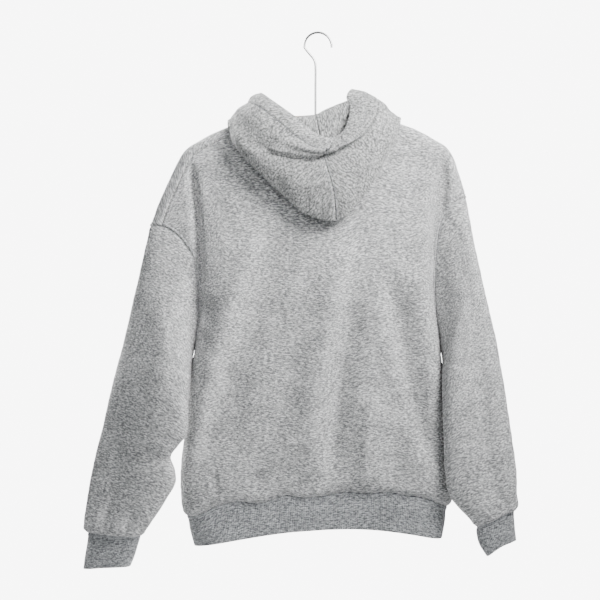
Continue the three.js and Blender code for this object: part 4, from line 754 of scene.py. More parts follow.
def panel(side):
    u, v = COLUMN_PLACES, panel_rows(COLUMN_PLACES, side)
    points = body_point(u, v, side)
    flip = (grid_normals(points, False, False)[MID_ROW:, :, 1] * side).mean() < 0
    edges = {"top": body_normal(u, v[0], side), "bottom": body_normal(u, v[-1], side)}
    for column, way in ((0, -1), (-1, 1)):
        angle = angle_of(v[:END_ROW + 1, column]) * np.where(v[:END_ROW + 1, column] < 0, -1, 1) * -side
        sections, folds = SLEEVES[way]
        arm = armhole_normal(way, angle, sections, folds)
        edges[way] = np.concatenate([arm, body_normal(way, v[END_ROW + 1:, column], side)])
    normals = set_edges(grid_normals(points, False, flip), edges)
    top, bottom, left, right = from_edges(points, False)
    x, z = points[..., 0], points[..., 2]
    creases = BACK_CREASES if side == BACK else FRONT_CREASES
    nearest = np.minimum(np.minimum(top, bottom), np.minimum(left, right))
    relief = creases_at(creases, x, z) * smooth(2, 22, np.minimum(left, right))
    calm = smooth(CALM_FROM, CALM_BY, nearest)
    (broad, broad_pitch), (fine, fine_pitch) = PANEL_HILLS
    relief += calm * broad * hills(x, z * 0.5, broad_pitch, 5 + side)
    relief += calm * fine * hills(x, z, fine_pitch, 9 + side)
    for away, along, seed in ((top, x, 21), (left, top, 22), (right, top, 23), (bottom, x, 24)):
        relief += seam_swell(away, along, seed + 7 * side)
    upper = smooth(ARMHOLE_END + 0.01, ARMHOLE_END - 0.01, v)
    relief += welt(np.minimum(np.where(upper > 0, np.minimum(left, right), FAR_OFF), top))
    relief += low_welt(bottom)
    drop = hem_drop(u, side)
    relief += blouse(bottom, 2.1 + 0.15 * (drop + 5), 9)
    relief = relief * smooth(0, EDGE_FADE, nearest) + seam_dip(top, bottom, left, right)
    outer = points + normals * relief[..., None]
    outer[..., 2] -= drop * (1 - smooth(0, DROP_REACH, bottom))
    return Cloth(outer, set_edges(grid_normals(outer, False, flip), edges), False)


def set_edges(normals, edges):
    """Puts the ways out that a piece shares with its neighbours on its edges, and blends them in."""
    for name, index in (("top", 0), ("bottom", -1)):
        if name in edges:
            normals[index] = edges[name]
    for name, index in ((-1, 0), (1, -1)):
        if name in edges:
            normals[:, index] = edges[name]
    return unit(normals)


SLEEVE_ROWS, SLEEVE_HALF, SLEEVE_LENGTH = 150, 80, 610


def sleeve(way):
    sections, folds = SLEEVES[way]
    angles = sleeve_angles(way)
    t = np.linspace(0, 1, SLEEVE_ROWS)[:, None]
    points = sleeve_point(way, t, angles, sections, folds)
    flip = way > 0
    shared = {"top": armhole_normal(way, angles, sections, folds)}
    normals = set_edges(grid_normals(points, True, flip), shared)
    top, bottom, around, _ = from_edges(points, True)
    relief = np.zeros(points.shape[:2])
    for side in (BACK, FRONT):
        creases = LEFT_CREASES if way < 0 else RIGHT_CREASES
        kept = {c: creases[c][creases["side"] == side] for c in CREASE_COLUMNS}
        shown = np.abs(np.sin(angles)) ** 0.5 * (side_of(angles) == side)
        relief += creases_at(kept, SLEEVE_HALF * np.cos(angles), -SLEEVE_LENGTH * t) * shown
    calm = smooth(CALM_FROM, CALM_BY, np.minimum(top, bottom))
    (broad, broad_pitch), (fine, fine_pitch) = SLEEVE_HILLS
    x, y, z = np.moveaxis(points, -1, 0)
    relief += calm * (broad * hills(x, z * 0.6, broad_pitch, 31 + way))
    relief += calm * fine * hills(x + y, z, fine_pitch, 41 + way)
    relief += seam_swell(top, around, 51 + way) + seam_swell(bottom, around, 61 + way)
    gather = hills(around, bottom * 0.3, 34, 71 + way)
    relief += blouse(bottom, 1.6 + 1.3 * gather, 10) + low_welt(bottom)
    relief = relief * smooth(0, EDGE_FADE, np.minimum(top, bottom)) + seam_dip(top, bottom)
    outer = points + normals * relief[..., None]
    return Cloth(outer, set_edges(grid_normals(outer, True, flip), shared), True), angles


CUFF_ROWS = np.linspace(0, 1, 26) ** 1.2


def cuff(way, above, angles):
    rows, lift = CUFFS[way]
    t = CUFF_ROWS[:, None]
    points = section_point(rows, t, angles)
    points[..., 2] += lift * t * t * np.sin(angles) ** 2
    normals = grid_normals(points, True, way > 0)
    top, _, around, _ = from_edges(points, True)
    height, pitch = CUFF_HILL
    relief = seam_dip(top) + smooth(0, 6, top) * height * hills(around, top * 0.5, pitch, 81 + way)
    outer = points + normals * relief[..., None]
    outer[0] = above.outer[-1]
    return Cloth(outer, set_edges(grid_normals(outer, True, way > 0), {"top": above.normals[-1]}), True)


HEM_DEPTH_LOW = {BACK: 41, FRONT: 42}           # half depths of the band's lower edge
WAIST_DEPTH, WAIST_AT, WAIST_WIDE = 1.2, 10, 9  # how the rib draws in below its seam
HEM_ROWS = np.linspace(0, 1, 28) ** 1.15


def hem_band(back, front):
    u = np.concatenate([COLUMN_PLACES, COLUMN_PLACES[-2:0:-1]])
    side = np.concatenate([np.full(len(COLUMN_PLACES), BACK), np.full(len(COLUMN_PLACES) - 2, FRONT)])
    above = np.concatenate([back.outer[-1], front.outer[-1, -2:0:-1]])
    above_way = np.concatenate([back.normals[-1], front.normals[-1, -2:0:-1]])
    top = body_point(u, 1.0, side)
    drop = hem_drop(u, side)
    rounding = np.sqrt(np.maximum(0, 1 - np.abs(u) ** SIDE_ROUNDING))
    depth = np.where(side < 0, HEM_DEPTH_LOW[BACK], HEM_DEPTH_LOW[FRONT]) * rounding * side
    low = np.stack([read(HEM_EDGE, "u", u, "x"), depth, read(HEM_EDGE, "u", u, "z")], axis=-1)
    points = mix(top, low, HEM_ROWS[:, None, None])
    points[..., 2] -= drop * (1 - smooth(0, 0.8, HEM_ROWS[:, None]))
    normals = grid_normals(points, True, False)
    away, _, around, _ = from_edges(points, True)
    waist = np.exp(-((away - WAIST_AT) / WAIST_WIDE) ** 2)
    relief = seam_dip(away) - WAIST_DEPTH * smooth(0, 6, away) * waist
    height, pitch = HEM_HILL
    relief += smooth(0, 8, away) * height * hills(around, away * 0.4, pitch, 91)
    relief += smooth(0, 8, away) * creases_at(HEM_CREASES, around, -away)
    outer = points + normals * relief[..., None]
    outer[0] = above
    return Cloth(outer, set_edges(grid_normals(outer, True, False), {"top": above_way}), True)


# The hood, down on the back
# How far it rests off the cloth below it, how it rises, sags and rolls, and the body's rough size
BACK_REST, CREST_REST, LEAST_REST = 3.2, 4.2, 0.6
REST = CLOTH + BACK_REST
RISE_SHARE, REST_FROM = 0.4, 0.16
HOOD_BEHIND, HOOD_SAG, FRONT_SAG = 50, 10, 1
INNER_BACK, INNER_RISE = 7, 12
ROLL, ROLL_RISE, FLAT_FROM = 4, 2, 0.8
BODY_SPAN, BODY_HALF = 650, 300
NECK_STOPS = [0, 0.08, 0.165, NECK_BESIDE, 0.264, 0.277, NECK_OVER, 0.293, 0.31]
CORNER = len(NECK_STOPS)
NECK_FARS = np.array(NECK_STOPS + [NECK_CORNER] + NECK_STOPS[::-1])
HOOD_STRIPS = table("n s",
    (0, 0), (1, 0.05), (2, 0.11), (3, 0.18), (4, 0.26), (5, 0.34), (6, 0.42), (7, 0.49), (8, 0.55),
    (9, 0.6), (10, 0.635), (11, 0.665), (12, 0.695), (13, 0.73), (14, 0.77), (15, 0.82), (16, 0.88),
    (17, 0.94), (18, 1))
LAST_STRIP = 18


def neck(n, way):
    u = way * np.interp(n, np.arange(LAST_STRIP + 1), NECK_FARS)
    side = np.where(n <= CORNER if way > 0 else n < CORNER, BACK, FRONT)
    v = panel_top(u, side)
    return body_point(u, v, side), body_normal(u, v, side)


def lift_clear(point, rest):
    """Lifts the hood clear of the panels that it lies on, back, front or over the arms."""
    x, y, z = np.moveaxis(point, -1, 0)
    top = cloth_top(x)
    free = (np.abs(x) > ARM_REACH) | (z > top + rest)
    middle = top - WRAP
    reach = np.hypot(y, z - middle)
    wanted = WRAP + rest * (1 + CREST_REST / REST) * np.hypot(1, arm_slope(x))
    grow = np.maximum(wanted / np.maximum(reach, 1e-6), 1)
    over = np.stack([x, y * grow, middle + (z - middle) * grow], axis=-1)
    u = np.clip(x / BODY_HALF, -0.95, 0.95)
    v = np.clip((top - z) / BODY_SPAN, 0.01, 0.9)
    for _ in range(12):
        at_x, at_z = flat_point(u, v)
        u = np.clip(u + (x - at_x) / BODY_HALF, -0.98, 0.98)
        v = np.clip(v + (at_z - z) / BODY_SPAN, 0.001, 0.95)
    side = np.where(y < 0, BACK, FRONT)
    face = np.maximum(half_depth(u, v, side) + rest, np.abs(y))
    beside = np.stack([x, face * side, z], axis=-1)
    lifted = np.where((z > middle)[..., None], over, beside)
    return np.where(free[..., None], point, lifted)


def through(stops, shares):
    """Smooth curves through lists of points, all at once, at shares of their lengths."""
    ends = np.concatenate([[2 * stops[0] - stops[1]], stops, [2 * stops[-1] - stops[-2]]])
    gap = np.maximum(np.linalg.norm(np.diff(ends, axis=0), axis=2), 1e-4) ** 0.5
    out = []
    for share in shares:
        at = share * (len(stops) - 1)
        i = min(int(at), len(stops) - 2)
        w = at - i
        p0, p1, p2, p3 = ends[i:i + 4]
        d0, d1, d2 = (gap[i + k][:, None] for k in range(3))
        m1 = ((p1 - p0) / d0 - (p2 - p0) / (d0 + d1) + (p2 - p1) / d1) * d1
        m2 = ((p2 - p1) / d1 - (p3 - p1) / (d1 + d2) + (p3 - p2) / d2) * d1
        bend = -3 * p1 + 3 * p2 - 2 * m1 - m2
        out.append(p1 + m1 * w + bend * w ** 2 + (2 * p1 - 2 * p2 + m1 + m2) * w ** 3)
    return np.stack(out)


HOOD_COLUMNS, HOOD_ROWS = 130, 140
HOOD_ROUND, HOOD_DEEP, HEM_WIDTH = 420, 300, 30
HEM_RISE, HEM_STEP, HEM_PULL_WIDE = 0.9, 1.2, 1.4   # the front hem's step and its drawn-in stitch line
HEM_PUCKER, MOST_PUCKER = 0.5, 1.6                  # its pucker, and how much more it has at the back
PUCKERED_AT, PUCKERED_WIDE = 0.04, 0.14
MIDDLE_DIP, MIDDLE_WIDE = 0.5, 1.5                  # the seam between the two halves


def hood_grid(way, n):
    """The hood's outer face on strips that rise from the neckline: rows along a strip."""
    base, normal = neck(n, way)
    along = neck(np.minimum(n + 1, LAST_STRIP), way)[0] - neck(np.maximum(n - 1, 0), way)[0]
    away = unit(np.cross(along, normal)) * -way
    middle = (n <= 0) | (n >= LAST_STRIP)
    away = unit(np.where(middle[:, None], away * np.array([0, 1, 1]), away))
    s = way * read(HOOD_STRIPS, "n", n, "s")
    step = read_point(STAND, "s", s)
    turn, tuck, band, edge = (read_point(rail, "s", s) for rail in (TURN, TUCK, BAND, EDGE))
    rise = base + away * RISE_SHARE * np.linalg.norm(step, axis=1, keepdims=True)
    stand = base + step
    folded = smooth(1, FLAT_FROM, np.abs(s))[:, None]
    out = unit(turn * np.array([1, 1, 0]))
    behind = np.clip(-turn[:, 1:2] / HOOD_BEHIND, 0, 1)
    inner = turn - out * INNER_BACK * folded
    inner[:, 2:] += INNER_RISE * folded * behind
    belly = mix(turn, tuck, 0.45) + out * mix(FRONT_SAG, HOOD_SAG, behind) * folded
    lip = mix(tuck, band, 0.5) + out * ROLL * folded
    roll = mix(band, edge, 0.55) + out * ROLL * folded + np.array([0, 0, ROLL_RISE])
    stops = np.stack([base, rise, stand, mix(stand, turn, 0.55), inner, turn, belly, tuck, lip, band,
                      roll, edge])
    shares = np.linspace(0, 1, HOOD_ROWS)
    grid = through(stops, shares)
    rest = mix(LEAST_REST, REST, smooth(0, REST_FROM, shares))[:, None] + np.zeros(len(n))
    lifted = lift_clear(grid, rest)
    lifted[0] = base
    return lifted, shares[:, None], s


LIP_RISE, LIP_REACH = 4.5, 16
TUCK_DEPTH, TUCK_WIDE = 6.5, 3.2


def tuck_line(x, share, far):
    """The sharp tuck under the rolled band: the band stands up over the cloth that it folds down on."""
    at = -read(LIP_LINE, "x", x, "z") / HOOD_DEEP
    line = np.array([np.interp(a, share[:, 0], column) for a, column in zip(at, far.T)])
    under = line - far
    shown = smooth(-150, -110, x) * smooth(265, 190, x)
    over = LIP_RISE * smooth(1.4, -2, under) * np.exp(-(np.maximum(-under - 3, 0) / LIP_REACH) ** 2)
    tucked = TUCK_DEPTH * np.exp(-(np.maximum(under, 0) / TUCK_WIDE) ** 2) * smooth(-1.5, 1, under)
    return shown * (over - tucked)


def hood_half(way):
    n = np.linspace(0, LAST_STRIP, HOOD_COLUMNS)
    points, share, s = hood_grid(way, n)
    flip = way > 0
    normals = grid_normals(points, False, flip)
    shared = {"top": neck(n, way)[1]}
    for ends, column, name in ((n[:3], 0, -1), (n[-3:], -1, 1)):
        other = grid_normals(hood_grid(-way, ends)[0], False, not flip)
        shared[name] = unit(normals[:, column] + other[:, column])
    normals = set_edges(normals, shared)
    top, bottom, left, right = from_edges(points, False)
    relief = creases_at(HOOD_CREASES, HOOD_ROUND * s, -HOOD_DEEP * share)
    relief = relief + tuck_line(HOOD_ROUND * s, share, top)
    calm = smooth(2, 14, left) * smooth(2, 14, bottom)
    (broad, broad_pitch), (fine, fine_pitch) = HOOD_HILLS
    x, y, z = np.moveaxis(points, -1, 0)
    relief += calm * broad * hills(x + y * 0.5, z, broad_pitch, 101)
    relief += calm * fine * hills(x, z + y, fine_pitch, 103)
    relief -= MIDDLE_DIP * np.exp(-(left / MIDDLE_WIDE) ** 2)
    stitched = np.exp(-(np.abs(bottom - HEM_WIDTH) / HEM_PULL_WIDE) ** 2)
    relief += HEM_RISE * smooth(HEM_WIDTH + HEM_STEP, HEM_WIDTH - HEM_STEP, bottom) - HEM_RISE * stitched
    pucker = hills(s * HOOD_ROUND, bottom, 13, 105) * np.exp(-((bottom - 14) / 12) ** 2)
    relief += pucker * (HEM_PUCKER + MOST_PUCKER * np.exp(-((s - PUCKERED_AT) / PUCKERED_WIDE) ** 2))
    relief = relief * smooth(0, 8, top) * smooth(0, 6, right) + seam_dip(top)
    outer = points + normals * relief[..., None]
    normals = set_edges(grid_normals(outer, False, flip), shared)
    return Cloth(outer, normals, False)


# Sewing
STITCH_PITCH, STITCH_LENGTH, THREAD = 3.0, 2.3, 0.34
SEAM_ROW = 3.0                  # a stitch row's distance from its seam
RIB_ROW = SEAM_ROW - 0.4        # the same on a rib and above it
BEAD_END, BEAD_TAPER = 0.72, 0.8
BEAD_WIDE, BEAD_LIFT = 1.25, 0.35


def line_at(cloth, edge, away):
    """The line that runs at one distance from an edge of a piece, and the ways out along it."""
    far = getattr(cloth, edge)
    grid, ways = cloth.outer, cloth.normals
    if edge in ("left", "right"):
        far, grid, ways = far.T, grid.swapaxes(0, 1), ways.swapaxes(0, 1)
    if edge in ("bottom", "right"):
        far, grid, ways = far[::-1], grid[::-1], ways[::-1]
    row = np.maximum(np.argmax(far >= away, axis=0), 1)
    column = np.arange(far.shape[1])
    before, after = far[row - 1, column], far[row, column]
    share = np.clip((away - before) / (after - before), 0, 1)[:, None]
    reached = far.max(0) > away
    return (mix(grid[row - 1, column], grid[row, column], share)[reached],
            unit(mix(ways[row - 1, column], ways[row, column], share))[reached])


def sew(lines):
    """Centres, directions and ways out of the stitches along some lines."""
    centres, alongs, ways = [], [], []
    for points, normals in lines:
        far = np.concatenate([[0], np.linalg.norm(np.diff(points, axis=0), axis=1).cumsum()])
        at = np.arange(STITCH_PITCH / 2, far[-1], STITCH_PITCH)
        place = [np.stack([np.interp(at + d, far, points[:, k]) for k in range(3)], -1) for d in (-1, 0, 1)]
        centres.append(place[1])
        alongs.append(unit(place[2] - place[0]))
        ways.append(unit(np.stack([np.interp(at, far, normals[:, k]) for k in range(3)], -1)))
    return np.concatenate(centres), np.concatenate(alongs), np.concatenate(ways)


def stitching(name, lines, finish):
    """One small drawn-in bead of thread for each stitch."""
    centre, along, way = sew(lines)
    beside = unit(np.cross(way, along))
    corners = [(-1, 0, 0)]
    for end, size in ((-BEAD_END, BEAD_TAPER), (0, 1), (BEAD_END, BEAD_TAPER)):
        corners += [(end, size, 0), (end, 0, size), (end, -size, 0), (end, 0, -size)]
    corners = np.array(corners + [(1, 0, 0)])
    points = (centre[:, None] + along[:, None] * corners[:, :1] * STITCH_LENGTH / 2
              + beside[:, None] * corners[:, 1:2] * THREAD * BEAD_WIDE
              + way[:, None] * (corners[:, 2:] * THREAD + THREAD * BEAD_LIFT)) / 1000
    faces = [(0, 1 + (k + 1) % 4, 1 + k) for k in range(4)]
    for ring in (1, 5):
        faces += [(ring + k, ring + (k + 1) % 4, ring + 4 + (k + 1) % 4, ring + 4 + k) for k in range(4)]
    faces += [(9 + k, 9 + (k + 1) % 4, 13) for k in range(4)]
    a, b, c = (corners[[f[k] for f in faces]] for k in range(3))
    if (a * np.cross(b, c)).sum() < 0:
        faces = [f[::-1] for f in faces]
    everything = [[i + len(corners) * k for i in f] for k in range(len(centre)) for f in faces]
    return made_piece(name, points.reshape(-1, 3), everything, finish)


def closed(line):
    return tuple(np.concatenate([part, part[:1]]) for part in line)


# Finishes
def new_finish(name):
    finish = bpy.data.materials.new(name)
    finish.use_nodes = True
    return finish, finish.node_tree, finish.node_tree.nodes["Principled BSDF"]


def feed(tree, value, socket):
    """Sets a socket to a plain number, or links it to what another node puts out."""
    if isinstance(value, (int, float)):
        socket.default_value = value
    else:
        tree.links.new(value, socket)


def noise(tree, place, scale, detail, rough=0.55, bend=0):
    stretch = tree.nodes.new("ShaderNodeVectorMath")
    stretch.operation = "MULTIPLY"
    stretch.inputs[1].default_value = scale
    tree.links.new(place, stretch.inputs[0])
    node = tree.nodes.new("ShaderNodeTexNoise")
    for name, value in (("Scale", 1), ("Detail", detail), ("Roughness", rough), ("Distortion", bend)):
        node.inputs[name].default_value = value
    tree.links.new(stretch.outputs[0], node.inputs["Vector"])
    return node.outputs["Fac"]


def number(tree, way, a, b=0):
    node = tree.nodes.new("ShaderNodeMath")
    node.operation = way
    feed(tree, a, node.inputs[0])
    feed(tree, b, node.inputs[1])
    return node.outputs[0]


def ranged(tree, value, given=(0, 1), wanted=(0, 1)):
    """A value taken from one range to another, and kept inside it."""
    node = tree.nodes.new("ShaderNodeMapRange")
    for name, end in zip(("From Min", "From Max", "To Min", "To Max"), (*given, *wanted)):
        node.inputs[name].default_value = end
    tree.links.new(value, node.inputs["Value"])
    return node.outputs["Result"]


COLOR_A, COLOR_B, COLOR_OUT = 6, 7, 2   # a Mix node's places for colours


def blended(tree, a, b, share, way="MIX"):
    node = tree.nodes.new("ShaderNodeMix")
    node.data_type, node.blend_type = "RGBA", way
    feed(tree, share, node.inputs["Factor"])
    tree.links.new(a, node.inputs[COLOR_A])
    tree.links.new(b, node.inputs[COLOR_B])
    return node.outputs[COLOR_OUT]


def raised(tree, shader, height, strength, distance):
    """Lets a height stand out of the surface by a distance in metres."""
    bump = tree.nodes.new("ShaderNodeBump")
    bump.inputs["Strength"].default_value = strength
    bump.inputs["Distance"].default_value = distance
    tree.links.new(height, bump.inputs["Height"])
    tree.links.new(bump.outputs[0], shader.inputs["Normal"])


# Waves per metre across and along the cloth, and how much each layer of the mix counts
STREAKS, FIBRES, CLOUDS, NAP = (150, 440, 0), (330, 1000, 0), (20, 30, 0), (700, 1100, 0)
STREAK_SHARE, FIBRE_SHARE, CLOUD_SHARE, NAP_SHARE = 0.7, 0.4, 0.2, 0.2
YARN_BEND, YARN_RANGE, CLOUD_RANGE = 0.6, (0.37, 0.63), (0.25, 0.75)
DARK_SHARE, CONTRAST = 0.07, 2.0


def heather():
    """Mixed light and dark fibres in short streaks that lie crosswise, and the nap that they raise."""
    group = bpy.data.node_groups.new("heather fibres", "ShaderNodeTree")
    for name, kind, way in (("Place", "Vector", "INPUT"), ("Light", "Color", "INPUT"),
                            ("Dark", "Color", "INPUT"), ("Color", "Color", "OUTPUT"),
                            ("Height", "Float", "OUTPUT")):
        group.interface.new_socket(name=name, in_out=way, socket_type="NodeSocket" + kind)
    start, end = group.nodes.new("NodeGroupInput"), group.nodes.new("NodeGroupOutput")
    place = start.outputs["Place"]
    streaks = ranged(group, noise(group, place, STREAKS, 3.0, bend=YARN_BEND), YARN_RANGE)
    fibres = ranged(group, noise(group, place, FIBRES, 2.0, bend=YARN_BEND), YARN_RANGE)
    clouds = ranged(group, noise(group, place, CLOUDS, 2.0), CLOUD_RANGE)
    shade = number(group, "ADD", number(group, "MULTIPLY", streaks, STREAK_SHARE),
                   number(group, "MULTIPLY", fibres, FIBRE_SHARE))
    shade = number(group, "ADD", shade, number(group, "MULTIPLY", clouds, CLOUD_SHARE))
    shade = number(group, "MAXIMUM", number(group, "SUBTRACT", shade, DARK_SHARE), 0)
    shade = number(group, "POWER", shade, CONTRAST)
    color = blended(group, start.outputs["Dark"], start.outputs["Light"], shade)
    nap = noise(group, place, NAP, 3.0, 0.6)
    height = number(group, "ADD", number(group, "MULTIPLY", streaks, NAP_SHARE), nap)
    group.links.new(color, end.inputs["Color"])
    group.links.new(height, end.inputs["Height"])
    return group


LENGTHWISE = 72     # degrees
# The second number is painted shade: the share of a rib's colour that is left in its valleys
WALE_PITCH, WALE_PAINTED_SHADE, WALE_HEIGHT, WALE_NAP = 0.0032, 0.84, 0.8, 0.3
NAP_HEIGHT, RIB_HEIGHT = 0.0004, 0.0007


def cloth_finish(name, fibres, light, dark, turned=False, wale=0, nap=NAP_HEIGHT):
    """Knit cloth on its own cut. turned lays the streaks lengthwise; wale is a rib's pitch, 0 for none, and
    gives the rib's valleys painted shade.
    """
    finish, tree, shader = new_finish(name)
    cut = tree.nodes.new("ShaderNodeUVMap")
    cut.uv_map = "cut"
    place = cut.outputs[0]
    turn = tree.nodes.new("ShaderNodeMapping")
    turn.inputs["Rotation"].default_value = (0, 0, math.radians(LENGTHWISE if turned else 0))
    tree.links.new(place, turn.inputs["Vector"])
    mixed = tree.nodes.new("ShaderNodeGroup")
    mixed.node_tree = fibres
    mixed.inputs["Light"].default_value = (*light, 1)
    mixed.inputs["Dark"].default_value = (*dark, 1)
    tree.links.new(turn.outputs[0], mixed.inputs["Place"])
    color, height = mixed.outputs["Color"], mixed.outputs["Height"]
    if wale:
        parts = tree.nodes.new("ShaderNodeSeparateXYZ")
        tree.links.new(place, parts.inputs[0])
        wave = number(tree, "SINE", number(tree, "MULTIPLY", parts.outputs[0], 2 * math.pi / wale))
        height = number(tree, "ADD", number(tree, "MULTIPLY", height, WALE_NAP),
                        number(tree, "MULTIPLY", wave, WALE_HEIGHT))
        # Painted shade: the rib's colour is painted darker in the valleys between its wales
        color = blended(tree, color, ranged(tree, wave, (-1, 1), (WALE_PAINTED_SHADE, 1)), 1, "MULTIPLY")
    raised(tree, shader, height, 0.55, nap)
    tree.links.new(color, shader.inputs["Base Color"])
    shader.inputs["Roughness"].default_value = 0.93
    shader.inputs["Specular IOR Level"].default_value = 0.18
    shader.inputs["Sheen Weight"].default_value = 0.2
    shader.inputs["Sheen Roughness"].default_value = 0.45
    return finish


def plain_finish(name, low, high, scale, rough, metal, bump_height):
    """Thread, steel or wood: two tones and a fine grain, stretched by scale."""
    finish, tree, shader = new_finish(name)
    place = tree.nodes.new("ShaderNodeTexCoord").outputs["Object"]
    grain = noise(tree, place, scale, 4.0, 0.6)
    ramp = tree.nodes.new("ShaderNodeValToRGB")
    for stop, at, tone in zip(ramp.color_ramp.elements, (0.3, 0.7), (low, high)):
        stop.position, stop.color = at, (*tone, 1)
    tree.links.new(grain, ramp.inputs[0])
    tree.links.new(ramp.outputs[0], shader.inputs["Base Color"])
    tree.links.new(ranged(tree, grain, wanted=(rough - 0.06, rough + 0.08)), shader.inputs["Roughness"])
    raised(tree, shader, grain, 0.4, bump_height)
    shader.inputs["Metallic"].default_value = metal
    return finish


def grey(tone):
    return (tone, tone, tone)


fibres = heather()
LIGHT_YARN, DARK_YARN = (0.95, 0.95, 0.945), (0.16, 0.162, 0.165)
# The hood's yarns are the body's fleece painted darker: painted shade for the hood's pouch and band
HOOD_LIGHT_IN_PAINTED_SHADE, HOOD_DARK_IN_PAINTED_SHADE = (0.76, 0.762, 0.752), (0.11, 0.112, 0.112)
RIB_LIGHT, RIB_DARK = (0.76, 0.775, 0.79), (0.14, 0.145, 0.15)
THREAD_DARK, THREAD_LIGHT = (0.42, 0.43, 0.46), (0.62, 0.63, 0.66)
WOOD_DARK, WOOD_LIGHT = (0.36, 0.22, 0.12), (0.5, 0.33, 0.19)
fleece = cloth_finish("heather fleece", fibres, LIGHT_YARN, DARK_YARN)
# The hood's finish is the body's fleece painted darker, as painted shade
hood_fleece_painted_shade = cloth_finish("heather fleece lengthwise painted shade", fibres, HOOD_LIGHT_IN_PAINTED_SHADE, HOOD_DARK_IN_PAINTED_SHADE, turned=True)
rib = cloth_finish("heather rib", fibres, RIB_LIGHT, RIB_DARK, wale=WALE_PITCH, nap=RIB_HEIGHT)
thread = plain_finish("sewing thread", THREAD_DARK, THREAD_LIGHT, (900, 900, 900), 0.7, 0, 0.0001)
steel = plain_finish("bright steel wire", grey(0.34), grey(0.46), (60, 60, 400), 0.4, 1, 0.00002)
wood = plain_finish("plain beech", WOOD_DARK, WOOD_LIGHT, (14, 160, 160), 0.5, 0, 0.0001)


def worn(piece, node):
    """A sheet of cloth that stands for a node: the node's own part is hidden and the sheet goes on the root
    body.
    """
    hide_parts(node)
    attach(piece, "root")


for loaded in bpy.context.selected_objects:
    loaded.select_set(False)

panels = {side: panel(side) for side in (BACK, FRONT)}
for side, name in ((BACK, "back_panel"), (FRONT, "front_panel")):
    cloth = panels[side]
    piece = cloth_wall("cloth_" + name, cloth.outer, cloth.normals, CLOTH, False, fleece, hang=(0, 0, -1))
    worn(piece, name)

arms = {}
for way, name in ((-1, "left"), (1, "right")):
    arm, angles = sleeve(way)
    end = cuff(way, arm, angles)
    arms[way] = (arm, end)
    hang = unit(arm.outer[-1].mean(0) - arm.outer[0].mean(0))
    piece = cloth_wall(f"cloth_{name}_sleeve", arm.outer, arm.normals, CLOTH, True, fleece, hang=hang)
    worn(piece, name + "_sleeve")
    band = cloth_wall(f"rib_{name}_cuff", end.outer, end.normals, BAND_CLOTH, True, rib, (0, 1), wales=True)
    worn(band, name + "_cuff")

hem = hem_band(panels[BACK], panels[FRONT])
band = cloth_wall("rib_hem_band", hem.outer, hem.normals, BAND_CLOTH, True, rib, (0, 1), wales=True)
worn(band, "hem_band")

hoods = {way: hood_half(way) for way in (-1, 1)}
for way, name in ((-1, "left_hood"), (1, "right_hood")):
    half = hoods[way]
    thick = CLOTH + HOOD_HEM_EXTRA * smooth(HEM_WIDTH + 3, HEM_WIDTH - 3, half.bottom)
    piece = cloth_wall("cloth_" + name, half.outer, half.normals, thick, False, hood_fleece_painted_shade, free=(0, 1))
    worn(piece, name)

lines = []
for side in (BACK, FRONT):
    lines.append(line_at(panels[side], "top", WELT))
    lines.append(line_at(panels[side], "bottom", WELT / LOW_WELT_NARROW))
    for edge in ("left", "right"):
        points, normals = line_at(panels[side], edge, WELT)
        lines.append((points[:END_ROW + 1], normals[:END_ROW + 1]))
for arm, end in arms.values():
    lines += [closed(line_at(arm, "top", SEAM_ROW)), closed(line_at(arm, "bottom", RIB_ROW))]
    lines.append(closed(line_at(end, "top", RIB_ROW)))
lines.append(closed(line_at(hem, "top", RIB_ROW)))
for half in hoods.values():
    lines.append(line_at(half, "bottom", HEM_WIDTH))
    lines.append(line_at(half, "left", SEAM_ROW))
seams = stitching("topstitching", lines, thread)
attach(seams, "root")

for node, finish in (("hanger_hook", steel), ("hanger_arms", wood)):
    for place in bpy.data.objects[node].material_slots:
        place.material = finish

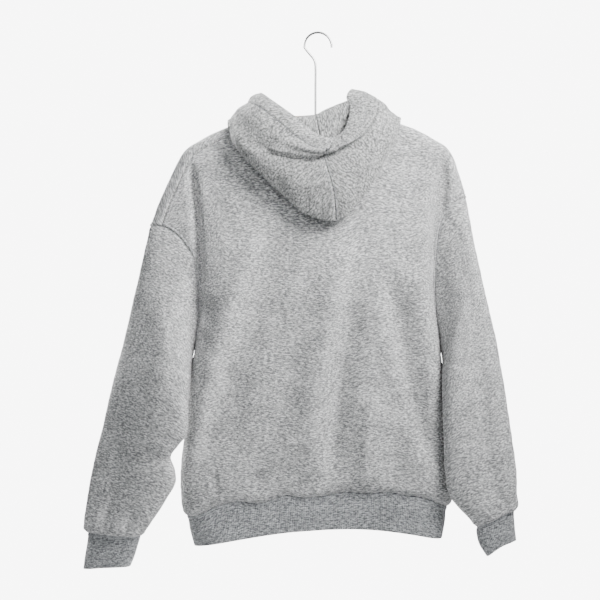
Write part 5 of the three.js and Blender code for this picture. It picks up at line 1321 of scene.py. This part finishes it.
# Studio
FLOOR_AT = (0, 0, -1.3)
BACKDROP_GLOW, ROOM_GLOW = 8.0, 0.23    # the white behind the garment, and the light that it gives
bpy.ops.mesh.primitive_circle_add(vertices=96, radius=1.0, fill_type="NGON", location=FLOOR_AT)
floor = bpy.context.object
floor.name = "floor"
bpy.ops.object.transform_apply(location=True, rotation=True, scale=True)
pale, _, pale_shader = new_finish("pale floor")
pale_shader.inputs["Base Color"].default_value = (*grey(0.86), 1)
pale_shader.inputs["Roughness"].default_value = 0.8
floor.data.materials.append(pale)

sky = bpy.data.worlds.new("white studio")
bpy.context.scene.world = sky
sky.use_nodes = True
air = sky.node_tree
seen = air.nodes["Background"]
around = air.nodes.new("ShaderNodeBackground")
for glow, tone, strength in ((seen, grey(1), BACKDROP_GLOW), (around, (0.9, 0.95, 1), ROOM_GLOW)):
    glow.inputs["Color"].default_value = (*tone, 1)
    glow.inputs["Strength"].default_value = strength
ray = air.nodes.new("ShaderNodeLightPath")
either = air.nodes.new("ShaderNodeMixShader")
air.links.new(ray.outputs["Is Camera Ray"], either.inputs[0])
air.links.new(around.outputs[0], either.inputs[1])
air.links.new(seen.outputs[0], either.inputs[2])
air.links.new(either.outputs[0], air.nodes["World Output"].inputs[0])


def soft_light(name, place, target, size, power, spread_degrees=180):
    """A round area light of a size in metres and a power in watts, turned to a target."""
    light = bpy.data.lights.new(name, "AREA")
    light.shape, light.size, light.energy = "DISK", size, power
    light.spread = math.radians(spread_degrees)
    lamp = bpy.data.objects.new(name, light)
    lamp.location = place
    lamp.rotation_euler = (Vector(target) - Vector(place)).to_track_quat("-Z", "Y").to_euler()
    bpy.context.collection.objects.link(lamp)


soft_light("high right light", (1.1, -0.92, 0.86), (-0.04, 0, -0.14), 1.05, 20.5, 76)
soft_light("high front light", (-0.3, -1.3, 0.3), (-0.12, 0, -0.3), 0.5, 0.22, 28)
soft_light("low left light", (-1.4, -1.5, -0.4), (0, 0, -0.45), 1.2, 3)
soft_light("far side light", (-1.3, 1.1, 0.75), (0, 0, -0.35), 0.8, 34, 100)

# From 2 m off this lens sees 1.08 m across, the photograph's 1.8 mm for each of its 600 pixels
camera = bpy.data.cameras.new("camera")
camera.sensor_width, camera.lens = 36, 66.667
eye = bpy.data.objects.new("camera", camera)
eye.location = (-0.0288, -2.0, -0.4797)
eye.rotation_euler = (math.pi / 2, 0, 0)
bpy.context.collection.objects.link(eye)
bpy.context.scene.camera = eye
